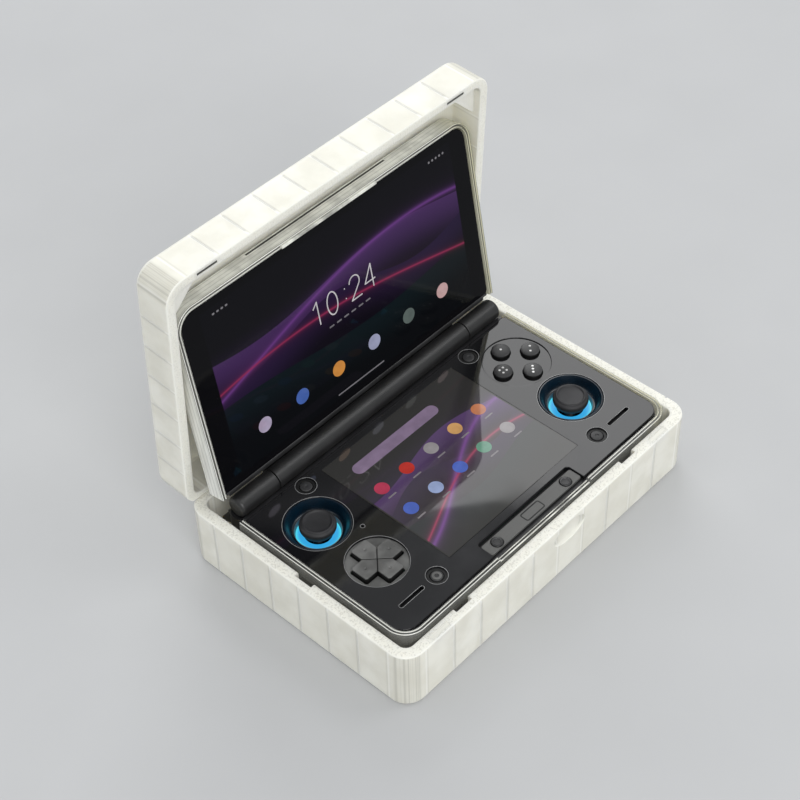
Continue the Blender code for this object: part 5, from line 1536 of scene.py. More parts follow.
@dataclass
class FacePlate(Assembly):
    """The glossy plate, the grey pad dish and the ring round the face buttons."""

    thickness: float = 1.6 * MM
    corner: float = 6.5 * MM
    rear_corner: float = 1.5 * MM
    edge: float = 0.22 * MM
    screen_corner: float = 0.4 * MM
    well_radius: float = 13.1 * MM
    dish_radius: float = 12.0 * MM
    dish_depth: float = 0.8 * MM
    dish_edge: float = 0.1 * MM
    disc_radius: float = 14.1 * MM
    disc_depth: float = 0.4 * MM
    recess_radius: float = 4.0 * MM
    recess_depth: float = 0.6 * MM
    inset_edge: float = 0.08 * MM
    inset_gap: float = 0.02 * MM
    button_gap: float = 0.25 * MM
    pad_gap: float = 0.5 * MM
    tab_half: float = 26.4 * MM
    tab_corner: float = 1.5 * MM
    tab_gap: float = 1.5 * MM
    slot_size: Place = (12.7 * MM, 1.7 * MM)
    pinhole: tuple[float, float, float] = (-47.6 * MM, -2.2 * MM, 0.6 * MM)
    line: float = 0.16 * MM
    well_line: float = 0.30 * MM
    recess_line: float = 0.22 * MM

    @property
    def top(self) -> float:
        """Height of the plate's upper side."""
        return Box.of("face_plate").high.z

    @property
    def low(self) -> float:
        """Height of the plate's underside."""
        return self.top - self.thickness

    @property
    def pad(self) -> Vector:
        """Middle of the direction pad."""
        return Box.of("dpad").centre

    @property
    def wells(self) -> dict[str, Vector]:
        """Middle of each stick's well."""
        return {label: Box.of(f"stick_{label}_housing").centre for _, label in SIDES}

    @property
    def rounds(self) -> dict[str, Vector]:
        """Middle of each small round button."""
        return {label: Box.of(f"round_button_{label}").centre for label in RoundButtons.labels}

    @property
    def speakers(self) -> dict[str, Vector]:
        """Middle of each speaker slot."""
        return {label: Box.of(f"speaker_{label}").centre for _, label in SIDES}

    def build(self) -> None:
        """Makes the plate and its insets."""
        cad, screen, pad = Box.of("face_plate"), Box.of("lower_display"), self.pad
        buttons = (Box.of("face_button_top").centre.x, Box.of("face_button_left").centre.y)
        outline = rounded(cad.high.x, cad.low.y, cad.high.y, self.corner, self.rear_corner)
        holes = [rounded(screen.size.x / 2, screen.low.y, screen.high.y, self.screen_corner, steps=3)]
        holes += [circle(c.x, c.y, self.well_radius) for c in self.wells.values()]
        holes += [circle(pad.x, pad.y, self.dish_radius), circle(*buttons, self.disc_radius)]
        holes += [circle(c.x, c.y, self.recess_radius, SMALL_ROUND_STEPS) for c in self.rounds.values()]
        holes += [stadium(c.x, c.y, *self.slot_size) for c in self.speakers.values()]
        holes.append(circle(*self.pinhole, 20))
        plate = sheet("face_sheet", self.notched(outline, cad.low.y), holes, (self.low, self.top), self.edge,
                      self.looks.gloss)
        mount(plate, ROOT, Slot.GLOSS, "face_plate")
        self.insets(buttons)
        self.lines()

    def notched(self, outline: list[Place], front: float) -> list[Place]:
        """Lets the front notch for the tab into the plate's outline.

        Args:
            outline: The outline, which starts at its front right corner.
            front: The plate's front limit.

        Returns:
            The outline with the notch.
        """
        rear, radius = Box.of("front_tab_plate").high.y + self.tab_gap, self.tab_corner
        notch = []
        for side, start in ((-1, 180.0), (1, 90.0)):
            x, y = side * (self.tab_half - radius), rear - radius
            notch += [(x + a, y + b) for a, b in arc(radius, start, start - 90.0, 6)]
        return [(self.tab_half, front)] + outline + [(-self.tab_half, front)] + notch

    def insets(self, buttons: Place) -> None:
        """The lower floors of the dish, the button disc and the four small recesses.

        Args:
            buttons: Middle of the face buttons.
        """
        arms, pad = DirectionPad(self.looks).outline(self.pad_gap), self.pad
        rim = circle(pad.x, pad.y, self.dish_radius - self.inset_gap)
        floors = [sheet("pad_dish", rim, [arms], (self.low, self.top - self.dish_depth), self.dish_edge,
                        self.looks.pad)]
        radius, places = FaceButtons.radius + self.button_gap, FaceButtons.places().values()
        holes = [circle(c.x, c.y, radius, 48) for c in places]
        rim = circle(*buttons, self.disc_radius - self.inset_gap)
        span = (self.low, self.top - self.disc_depth)
        floors.append(sheet("button_disc", rim, holes, span, self.inset_edge, self.looks.gloss))
        for label, c in self.rounds.items():
            rim, hole = (circle(c.x, c.y, radius, SMALL_ROUND_STEPS) for radius in (
                self.recess_radius - self.inset_gap, RoundButtons.radius + self.button_gap))
            floors.append(sheet(f"recess_{label}", rim, [hole], (self.low, self.top - self.recess_depth),
                                self.inset_edge, self.looks.button_side))
        for floor in floors:
            mount(floor, ROOT, Slot.GLOSS)

    def lines(self) -> None:
        """The thin painted highlight round the edge of each recess, well and slot."""
        rings, span = Shape(), (self.top - PRINT_SINK, self.top + PRINT_RISE)
        entries = [(c, self.well_radius + self.well_line) for c in self.wells.values()]
        entries += [(c, self.recess_radius + self.recess_line) for c in self.rounds.values()]
        entries.append((self.pad, self.dish_radius + self.recess_line))
        entries.append((Vector(self.pinhole), self.pinhole[2] + self.well_line))
        for centre, radius in entries:
            near, far = about(radius, self.line / 2)
            profile = [(near, span[0]), (far, span[0]), (far, span[1]), (near, span[1])]
            rings.spin(profile, (centre.x, centre.y, 0), closed=True)
        mount(rings.object("edge_highlight_rings", self.looks.edge_highlight), ROOT, Slot.GLOSS)
        width, height = (size + self.line for size in self.slot_size)
        for label, c in self.speakers.items():
            outer, hole = (stadium(c.x, c.y, width + grow, height + grow) for grow in (self.line, -self.line))
            line = sheet(f"slot_line_{label}", outer, [hole], span, PRINT_EDGE, self.looks.edge_highlight)
            mount(line, ROOT, Slot.GLOSS)


@dataclass
class ScreenMarks:
    """Generic marks on a screen: plain discs, bars and clock figures, all a hair above the glass."""

    name: str
    matrix: Matrix
    body: str
    sink: float = 0.02 * MM
    lift: float = 0.03 * MM

    def flat(self, outline: Outline) -> Shape:
        """A thin patch."""
        return Shape().levels([(outline, -self.sink), (outline, self.lift)])

    def discs(self, places: Iterable[Place], radius: float, steps: int = SMALL_ROUND_STEPS) -> list[Shape]:
        """Round patches at places given in millimetres."""
        return [self.flat(circle(x * MM, y * MM, radius, steps)) for x, y in places]

    def slots(self, places: Iterable[Place], length: float, width: float) -> list[Shape]:
        """Patches with round ends at places given in millimetres."""
        return [self.flat(stadium(x * MM, y * MM, length, width)) for x, y in places]

    def strokes(self, lines: Sequence[Outline], width: float) -> list[Shape]:
        """Draws thin lines as flat strips with round joints.

        Args:
            lines: The points of each line.
            width: The strips' width.

        Returns:
            The patches.
        """
        parts = []
        for line in lines:
            for first, second in zip(line, line[1:]):
                start, end = Vector(first), Vector(second)
                way = end - start
                side = Vector((-way.y, way.x)).normalized() * width / 2
                strip = (start - side, end - side, end + side, start + side)
                parts.append(self.flat([tuple(corner) for corner in strip]))
            parts.extend(self.flat(circle(x, y, width / 2, 12)) for x, y in line)
        return parts

    def put(self, label: str, patches: Sequence[Shape], glow: Glow) -> None:
        """Makes one piece of some patches.

        Args:
            label: The end of the piece's name.
            patches: The patches.
            glow: Their finish.
        """
        item = Shape().add(*patches).object(f"{self.name}_{label}", glow.make(), self.matrix)
        mount(item, self.body, Slot.SCREEN)


FIGURES = {
    "0": [(0.5 + 0.5 * x, 0.5 + 0.5 * y) for x, y in circle(0, 0, 1, 20)] + [(1.0, 0.5)],
    "1": [(0.15, 0.78), (0.55, 1.0), (0.55, 0.0)],
    "2": [(0.5 + 0.5 * x, 0.72 + 0.28 * y) for x, y in arc(1, 170, -30, 10)] + [(0.0, 0.0), (1.0, 0.0)],
    "4": [(0.78, 0.0), (0.78, 1.0), (0.0, 0.3), (1.0, 0.3)],
}


@dataclass
class Screens(Assembly):
    """Both displays: the lower pane flush in the plate and the upper glass, with their pictures.

    The places of the marks are given in millimetres from the screen's middle.
    """

    pane_thickness: float = 1.6 * MM
    pane_corner: float = 0.4 * MM
    glass_edge: float = 0.3 * MM
    glass_corners: Place = (7.0 * MM, 2.0 * MM)
    border: Place = (0.5 * MM, 0.3 * MM)
    clock: str = "10:24"
    clock_start: float = -17.0 * MM
    figure_size: Place = (5.4 * MM, 10.2 * MM)
    figure_width: float = 0.55 * MM
    figure_pace: float = 1.45
    colon: tuple[float, float, float, float] = (0.35, 0.5, 0.28, 0.72)
    disc_radius: float = 3.3 * MM
    small_disc_share: float = 0.92
    bar: tuple[Place, Place] = ((-6.5, 22.5), (47 * MM, 5.6 * MM))
    caption_size: Place = (4.4 * MM, 0.7 * MM)
    columns: tuple[int, ...] = (-29, -15, -1, 13, 27)
    caption_rows: Place = (3.6, -11.4)
    lower_discs: tuple[tuple[str, Colour, Outline], ...] = (
        ("crimson", (0.45, 0.03, 0.08), ((-29, 9),)), ("scarlet", (0.50, 0.02, 0.01), ((-15, 9),)),
        ("pearl", (0.30, 0.28, 0.29), ((-1, 9), (27, -6))), ("amber", (0.60, 0.33, 0.12), ((13, 9),)),
        ("azure", (0.06, 0.12, 0.50), ((-29, -6), (-1, -6))), ("sky", (0.30, 0.38, 0.62), ((-15, -6),)),
        ("coral", (0.50, 0.16, 0.06), ((27, 9),)), ("mint", (0.10, 0.30, 0.20), ((13, -6),)))
    upper_discs: tuple[tuple[str, Colour], ...] = (
        ("lilac", (0.42, 0.36, 0.50)), ("navy", (0.05, 0.12, 0.42)), ("orange", (0.62, 0.25, 0.04)),
        ("pale", (0.34, 0.36, 0.52)), ("olive", (0.10, 0.13, 0.12)), ("rose", (0.55, 0.34, 0.34)))

    def build(self) -> None:
        """Makes both screens and their marks."""
        self.lower()
        self.upper()
        coat("upper_display", self.looks.gloss)
        coat("lid_rear_cover", self.looks.matt)

    def lower(self) -> None:
        """The lower pane with its bar, discs and captions."""
        cad, border = Box.of("lower_display"), self.border[0]
        picture = ScreenPicture("lower_picture", ScreenDesign.LOWER, tuple(cad.centre), (0, 1, 0),
                                cad.size.x / 2 - border, cad.size.y / 2 - border)
        outline = rounded(cad.size.x / 2, cad.low.y, cad.high.y, self.pane_corner, steps=3)
        pane = Shape().bar(outline, cad.high.z - self.pane_thickness, cad.high.z)
        mount(pane.object("lower_pane", picture.make()), ROOT, Slot.SCREEN, "lower_display")
        marks = ScreenMarks("lower_mark", Matrix.Translation((cad.centre.x, cad.centre.y, cad.high.z)), ROOT)
        place, size = self.bar
        marks.put("search_bar", marks.slots([place], *size), Glow("glow_mauve", (0.21, 0.15, 0.24), 0.9))
        for label, tint, places in self.lower_discs:
            marks.put(label, marks.discs(places, self.disc_radius * self.small_disc_share),
                      Glow("glow_" + label, tint, 0.9))
        captions = [(x, y) for x in self.columns for y in self.caption_rows]
        marks.put("captions", marks.slots(captions, *self.caption_size),
                  Glow("glow_caption", (0.22, 0.20, 0.22), 0.8))

    def upper(self) -> None:
        """The upper glass with its clock, small marks and row of discs."""
        cad, display = CONSOLE_HINGE.box_of("upper_glass"), CONSOLE_HINGE.box_of("upper_display")
        middle = Vector((0, display.centre.y, cad.low.z))
        picture = ScreenPicture("upper_picture", ScreenDesign.UPPER, tuple(CONSOLE_HINGE.matrix @ middle),
                                tuple(-part for part in CONSOLE_HINGE.along),
                                display.size.x / 2 - self.border[0], display.size.y / 2 - self.border[1])
        outline = rounded(cad.size.x / 2, cad.low.y, cad.high.y, *self.glass_corners)
        glass = Shape().bar(outline, cad.low.z, cad.high.z, self.glass_edge)
        item = glass.object("upper_pane", picture.make(), CONSOLE_HINGE.matrix)
        mount(item, CONSOLE_LID_BODY, Slot.SCREEN, "upper_glass")
        turn = CONSOLE_HINGE.matrix @ Matrix.Translation(middle) @ Matrix.Rotation(math.pi, 4, "X")
        marks = ScreenMarks("upper_mark", turn, CONSOLE_LID_BODY)
        marks.put("clock", marks.strokes(self.clock_lines(), self.figure_width),
                  Glow("glow_white", (0.62, 0.60, 0.62), 0.85))
        small = marks.slots([(-9 + 4 * step, -4.2) for step in range(6)], 2.6 * MM, 0.7 * MM)
        small += marks.slots([(-60 + 2.1 * step, 34) for step in range(4)], 1.2 * MM, 0.8 * MM)
        small += marks.discs([(54 + 2.0 * step, 34) for step in range(5)], 0.5 * MM, 16)
        small += marks.slots([(0, -35.4)], 26 * MM, 0.6 * MM)
        marks.put("small", small, Glow("glow_grey", (0.20, 0.19, 0.21), 0.8))
        for step, (label, tint) in enumerate(self.upper_discs):
            marks.put(label, marks.discs([(-50 + 20 * step, -24.0)], self.disc_radius, ROUND_STEPS),
                      Glow("glow_" + label, tint, 0.85))

    def clock_lines(self) -> list[list[Place]]:
        """The lines of the clock's figures.

        Returns:
            The points of each line.
        """
        (width, height), lines, x = self.figure_size, [], self.clock_start
        before, after, *dots = self.colon
        for figure in self.clock:
            if figure == ":":
                x += width * before
                lines += [[(x, share * height), (x + 0.01 * MM, share * height)] for share in dots]
                x += width * after
                continue
            lines.append([(x + a * width, b * height) for a, b in FIGURES[figure]])
            x += width * self.figure_pace
        return lines


@dataclass
class FrontTab(Assembly):
    """The grey tab plate with its two pads and a bare badge outline."""

    corner: float = 0.9 * MM
    edge: float = 0.18 * MM
    pad_gap: float = 0.15 * MM
    pad_ease: float = 0.35 * MM
    pad_dish: Outline = ((0.62, 0.0), (0.56, 0.15 * MM), (0.12, 0.18 * MM))
    pad_steps: int = 48
    badge_size: Place = (10.7 * MM, 4.4 * MM)
    badge_corner: float = 1.1 * MM
    badge_shift: float = 0.5 * MM
    badge_line: float = 0.55 * MM
    sill_gap: float = 0.3 * MM
    sill_highlights: Outline = ((0.22, 0.55 * MM), (0.78, 0.35 * MM))
    sill_corner: float = 0.15 * MM
    sill_span: Place = (-0.1 * MM, 0.2 * MM)
    sill_edge: float = 0.1 * MM

    def build(self) -> None:
        """Makes the tab."""
        cad = Box.of("front_tab_plate")
        pads = {label: Box.of(f"tab_pad_{label}") for _, label in SIDES}
        holes = [circle(pad.centre.x, pad.centre.y, pad.size.x / 2 + self.pad_gap, SMALL_ROUND_STEPS)
                 for pad in pads.values()]
        outline = rounded(cad.size.x / 2, cad.low.y, cad.high.y, self.corner)
        plate = sheet("tab_sheet", outline, holes, cad.reach(2), self.edge, self.looks.tab)
        mount(plate, ROOT, Slot.METAL, "front_tab_plate")
        for label, pad in pads.items():
            radius, top = pad.size.x / 2, pad.high.z
            profile = [(radius, pad.low.z)] + eased(radius, top, self.pad_ease)
            profile += [(radius * share, top - drop) for share, drop in self.pad_dish]
            shape = Shape().spin(profile, (pad.centre.x, pad.centre.y, 0), steps=self.pad_steps)
            item = shape.object(f"tab_pad_top_{label}", self.looks.deck)
            mount(item, ROOT, Slot.RUBBER, f"tab_pad_{label}")
        width, length = self.badge_size
        limits = about(cad.centre.y, length / 2)
        outer = rounded(width / 2, *limits, self.badge_corner, middle=self.badge_shift)
        span = (cad.high.z - PRINT_SINK, cad.high.z + PRINT_RISE)
        badge = sheet("badge_frame", outer, [inset(outer, self.badge_line)], span, PRINT_EDGE,
                      self.looks.button_side)
        mount(badge, ROOT, Slot.METAL)
        coat("lower_housing", self.looks.deck)
        self.sill()

    def sill(self) -> None:
        """The clear cover's lowered crest in front of the tab, with its two edges painted pale as highlights.
        """
        shell = Box.of("lower_clear_shell")
        top = Box.of("face_plate").high.z - ClearShells.tab_drop
        low, high = (top + rise for rise in self.sill_span)
        lines = Shape()
        # two thin pale bars on the crest's edges: painted highlights
        for share, width in self.sill_highlights:
            limits = about(shell.low.y + ClearShells.wall * share, width / 2)
            outline = rounded(ClearShells.tab_half - self.sill_gap, *limits, self.sill_corner, steps=3)
            lines.bar(outline, low, high, self.sill_edge)
        mount(lines.object("tab_sill_highlights", self.looks.glimmer), ROOT, Slot.COVER)


@dataclass
class ThumbStick(Assembly):
    """One thumb stick: its cone well, collar, light ring and dished cap.

    Profiles are radius and height above the plate, in millimetres.
    """

    label: str
    well_radius: float = 12.95 * MM
    well_bead: float = 0.25 * MM
    flange: Outline = ((9.6, -7.2), (12.95, -7.2), (12.95, -0.25))
    brim: Outline = ((12.35, 0.0), (12.23, -0.25))
    cone: Outline = ((12.2, -0.3), (9.3, -3.9))
    cone_steps: int = 8
    bore: Outline = ((9.3, -3.95), (9.3, -6.3), (8.4, -6.4))
    bore_floor: float = 1.2 * MM
    collar: Outline = ((9.28, -3.9), (9.05, -3.8), (8.6, -5.6), (8.6, -6.3), (9.28, -6.3))
    ring_top: Outline = ((8.58, -5.5), (8.1, -5.6), (5.5, -5.6))
    glow_limits: Place = (5.2 * MM, 8.6 * MM)
    socket: Outline = ((1.8, -1.9), (1.8, -5.3), (2.6, -5.4), (2.6, -3.7), (3.4, -3.4), (5.3, -3.4))
    cap_radius: float = 7.2 * MM
    under: float = 3.4 * MM
    waist: float = 0.7 * MM
    flare: float = 1.7 * MM
    slim: float = 0.895 * MM
    rise: float = 1.4 * MM
    rim_radius: float = 6.2 * MM
    edge: float = 0.7 * MM
    dish_radius: float = 4.9 * MM
    dish_depth: float = 0.55 * MM
    dish_hollow: float = 0.25 * MM

    def build(self) -> None:
        """Makes the well, the collar, the ring and the cap."""
        name, looks = f"stick_{self.label}", self.looks
        housing, light = Box.of(f"{name}_housing"), Box.of(f"{name}_light")
        centre = (housing.centre.x, housing.centre.y, housing.high.z)
        top = metres(self.ring_top)
        foot = top[-1][1] - light.size.z
        ring = [(top[-1][0], foot), (top[0][0], foot)] + top
        glow = LightRing(f"glow_{self.label}", tuple(light.centre), *self.glow_limits).make()
        for part, profile, closed, finish, body, slot, nodes in (
                ("well", self.well(-housing.size.z), False, looks.well, ROOT, Slot.WELL, ["housing"]),
                ("collar", metres(self.collar), True, looks.collar, ROOT, Slot.WELL, []),
                ("ring", ring, True, glow, ROOT, Slot.LIGHT, ["light"]),
                ("cap_top", self.cap(), False, looks.rubber, f"{name}_cap_body", Slot.RUBBER, ["cap"])):
            item = Shape().spin(profile, centre, closed=closed).object(f"{name}_{part}", finish)
            mount(item, body, slot, *(f"{name}_{node}" for node in nodes))
        coat(f"{name}_rocker", looks.button_side)
        coat(f"{name}_stem", looks.button_side)

    def well(self, low: float) -> list[Place]:
        """The housing's profile with its cone.

        Args:
            low: How far down the housing reaches.

        Returns:
            The profile.
        """
        (rim, top), (foot, bottom) = metres(self.cone)
        shares = [step / self.cone_steps for step in range(self.cone_steps + 1)]
        profile = [(self.flange[0][0] * MM, low)] + metres(self.flange)
        profile += eased(self.well_radius, 0.0, self.well_bead) + metres(self.brim)
        profile += [(rim + (foot - rim) * share, top + (bottom - top) * sine(90 * share)) for share in shares]
        return profile + metres(self.bore) + [(self.bore[-1][0] * MM, low + self.bore_floor)]

    def cap(self) -> list[Place]:
        """The rubber cap's profile with its dished top.

        Returns:
            The profile.
        """
        profile, waist, brink = metres(self.socket), self.waist, self.rim_radius - self.edge
        profile += [(self.cap_radius - self.flare * (1 - cosine(a)), (self.under - waist) * sine(a) - waist)
                    for a in (-80, -65, -50, -35, -20, -8)]
        tall = self.rise - self.edge + waist
        profile += [(self.cap_radius - self.slim * (1 - cosine(a)), tall * sine(a) - waist)
                    for a in range(0, 61, 15)]
        profile += eased(self.rim_radius, self.rise, self.edge, 15.0, 6)
        for share in (step / 6 for step in range(1, 7)):
            profile.append((brink * (1 - share) + self.dish_radius * share,
                            self.rise - self.dish_depth * share * share * (3 - 2 * share)))
        dish = self.rise - self.dish_depth
        return profile + [(self.dish_radius * share, dish - self.dish_hollow * (1 - share * share))
                          for share in (0.85, 0.65, 0.45, 0.25, 0.04)]


@dataclass
class DirectionPad(Assembly):
    """The direction pad: four five-sided arms with a dimple each."""

    half_width: float = 3.9 * MM
    reach: float = 9.8 * MM
    corner: float = 0.6 * MM
    rise: float = 1.5 * MM
    sink: float = 2.4 * MM
    edge: float = 0.3 * MM
    groove: float = 0.35 * MM
    groove_lean: float = 0.7
    drop: float = 0.7 * MM
    skin: float = 0.03 * MM
    dimple: float = 0.85 * MM
    dimple_place: float = 6.3 * MM
    dimple_lift: float = 0.45
    post_radius: float = 2.2 * MM
    post_overlap: float = 0.1 * MM
    sharp: float = math.radians(15)
    soft: float = math.radians(40)

    @property
    def middle(self) -> Vector:
        """The pad's middle."""
        return Box.of("dpad").centre

    def turned(self, places: Outline, turn: int) -> list[Place]:
        """Carries places on the front arm, about the pad's middle, to the arm a few quarter turns on."""
        x, y, along, across = self.middle.x, self.middle.y, round(cosine(90 * turn)), round(sine(90 * turn))
        return [(x + a * along - b * across, y + a * across + b * along) for a, b in places]

    def outline(self, margin: float = 0.0) -> list[Place]:
        """The whole cross.

        Args:
            margin: How far it is grown.

        Returns:
            Its outline.
        """
        half, reach = self.half_width + margin, self.reach + margin
        quarter = [(half - self.corner, -reach), (half, -reach + self.corner), (half, -half),
                   (reach - self.corner, -half), (reach, -half + self.corner)]
        points = [place for turn in range(4) for place in self.turned(quarter, turn)]
        return [point for step, point in enumerate(points) if point != points[step - 1]]

    def build(self) -> None:
        """Makes the core, the arms, the near-black skins round them as painted shade, and the post."""
        cad, middle = Box.of("dpad"), (self.middle.x, self.middle.y, 0)
        top = cad.high.z
        low = top - self.rise - self.sink
        inner = inset(self.outline(), self.groove)
        # the core shows in the grooves between the arms; its near-black finish is painted shade there
        core = Shape().levels([(inner, low), (inner, top - self.drop)])
        item = core.object("pad_core", self.looks.button_side, smooth=self.sharp)
        mount(item, "dpad_body", Slot.RUBBER)
        arms, sides, dimples = Shape(), Shape(), []
        ball = arc(self.dimple, -85, 85, 10)
        for turn in range(4):
            arm = self.turned(self.arm(), turn)
            levels = [(arm, low), (arm, top - self.edge)]
            levels += [(inset(arm, self.edge * (1 - cosine(a))), top - self.edge * (1 - sine(a)))
                       for a in (30, 60, 90)]
            arms.levels(levels)
            # a near-black skin just outside each arm's flanks: painted shade
            skirt = self.turned(inset(self.arm(), -self.skin), turn)
            sides.levels([(skirt, low), (skirt, top - self.edge * 1.5)])
            spot = self.turned([(0.0, -self.dimple_place)], turn)[0]
            dimples.append(Shape().spin(ball, (*spot, top + self.dimple * self.dimple_lift), steps=24))
        item = arms.object("pad_cross", self.looks.pad, smooth=self.soft)
        for dimple in dimples:
            item = carve(item, dimple)
        mount(item, "dpad_body", Slot.RUBBER, "dpad")
        mount(sides.object("pad_side_shade", self.looks.button_side, smooth=self.sharp), "dpad_body", Slot.RUBBER)
        coat("dpad_pivot", self.looks.gunmetal)
        stem = [(self.post_radius, cad.low.z), (self.post_radius, low + self.post_overlap)]
        post = Shape().spin(stem, middle, steps=32)
        mount(post.object("pad_post", self.looks.button), "dpad_body", Slot.RUBBER)

    def arm(self) -> list[Place]:
        """The five-sided front arm, its point near the middle.

        Returns:
            Its outline.
        """
        half, lean = self.half_width, self.groove * self.groove_lean
        return [(half - self.corner, -self.reach), (half, -self.reach + self.corner), (half, -half - lean),
                (0.0, -lean), (-half, -half - lean), (-half, -self.reach + self.corner),
                (-half + self.corner, -self.reach)]


@dataclass
class FaceButtons(Assembly):
    """Four domed buttons with plain dots in place of letters."""

    radius: float = 3.9 * MM
    dome: float = 0.55 * MM
    foot_share: float = 0.9
    stem: Outline = ((1.8 * MM, 4.2 * MM), (4.6 * MM, 4.2 * MM), (4.6 * MM, 3.4 * MM))
    skin: float = 0.03 * MM
    dot: float = 0.5 * MM
    spots: tuple[tuple[str, Outline], ...] = (
        ("top", ((0, 0),)), ("right", ((-1, -1), (1, 1))), ("bottom", ((-1.2, -1.2), (0, 0), (1.2, 1.2))),
        ("left", ((-1, -1), (1, 1), (-1, 1), (1, -1))))

    @classmethod
    def places(cls) -> dict[str, Vector]:
        """The middle of each button's top.

        Returns:
            The places by label.
        """
        boxes = {label: Box.of(f"face_button_{label}") for label, _ in cls.spots}
        return {label: Vector((cad.centre.x, cad.centre.y, cad.high.z)) for label, cad in boxes.items()}

    def build(self) -> None:
        """Makes the buttons."""
        places = self.places()
        for label, spots in self.spots:
            top, node = places[label], f"face_button_{label}"
            centre, foot = (top.x, top.y, 0), self.radius * self.foot_share
            crown = [(foot, top.z - self.dome * 2.2), (self.radius, top.z - self.dome * 1.6)]
            crown += [(self.radius * cosine(a), top.z - self.dome + self.dome * sine(a))
                      for a in (8, 20, 34, 48, 62, 76, 86)]
            item = Shape().spin(crown, centre).object(f"button_crown_{label}", self.looks.button)
            mount(item, f"{node}_body", Slot.RUBBER, node)
            side = [(self.stem[0][0], Box.of(node).low.z)]
            side += [(radius, top.z - drop) for radius, drop in self.stem]
            inner, brim = self.radius - self.skin, top.z - self.dome * 1.7
            side += [(inner, side[-1][1]), (inner, brim), (foot, brim)]
            item = Shape().spin(side, centre).object(f"button_stem_{label}", self.looks.button_side)
            mount(item, f"{node}_body", Slot.RUBBER)
            self.dots(label, spots, top)

    def dots(self, label: str, spots: Outline, top: Vector) -> None:
        """The dots on one button.

        Args:
            label: The button's label.
            spots: Each dot's place in millimetres from the middle.
            top: The middle of the button's top.
        """
        shape = Shape()
        for a, b in spots:
            share = math.hypot(a, b) * MM / self.radius
            height = top.z - self.dome + self.dome * math.sqrt(1 - share ** 2)
            profile = [(self.dot, height - 0.15 * MM), (self.dot, height + 0.01 * MM),
                       (self.dot * 0.8, height + PRINT_RISE)]
            shape.spin(profile, (top.x + a * MM, top.y + b * MM, 0), steps=20)
        item = shape.object(f"button_dots_{label}", self.looks.mark)
        mount(item, f"face_button_{label}_body", Slot.RUBBER)


@dataclass
class RoundButtons(Assembly):
    """Four small round buttons in their recesses, one of them with a pale ring painted on as a highlight."""

    radius: float = 2.5 * MM
    ease: float = 0.35 * MM
    stem: Outline = ((1.8 * MM, 2.7 * MM), (3.2 * MM, 2.7 * MM), (3.2 * MM, 2.0 * MM))
    dish: Outline = ((0.34, 0.0), (0.28, 0.22 * MM), (0.08, 0.25 * MM))
    steps: int = 48
    labels: tuple[str, ...] = ("rear_left", "rear_right", "front_left", "front_right")
    highlit_button: str = "front_left"
    highlight_ring: Place = (0.9 * MM, 1.9 * MM)
    highlight_sink: float = 0.1 * MM
    highlight_ease: float = 0.05 * MM

    def build(self) -> None:
        """Makes the buttons."""
        for label in self.labels:
            node = f"round_button_{label}"
            cad, body = Box.of(node), f"{node}_body"
            top, centre = cad.high.z, (cad.centre.x, cad.centre.y, 0)
            profile = [(self.stem[0][0], cad.low.z)] + [(radius, top - drop) for radius, drop in self.stem]
            profile += [(self.radius, profile[-1][1])] + eased(self.radius, top, self.ease)
            profile += [(self.radius * share, top - drop) for share, drop in self.dish]
            shape = Shape().spin(profile, centre, steps=self.steps)
            mount(shape.object(f"round_top_{label}", self.looks.button), body, Slot.RUBBER, node)
            # a pale ring on the domed top of one button: painted highlight
            if label == self.highlit_button:
                low, high, ease = top - self.highlight_sink, top + PRINT_RISE, self.highlight_ease
                inner, outer = self.highlight_ring
                ring = [(inner, low), (outer, low), (outer - ease, high), (inner + ease, high)]
                shape = Shape().spin(ring, centre, steps=self.steps, closed=True)
                mount(shape.object("round_highlight_ring", self.looks.pad), body, Slot.RUBBER)


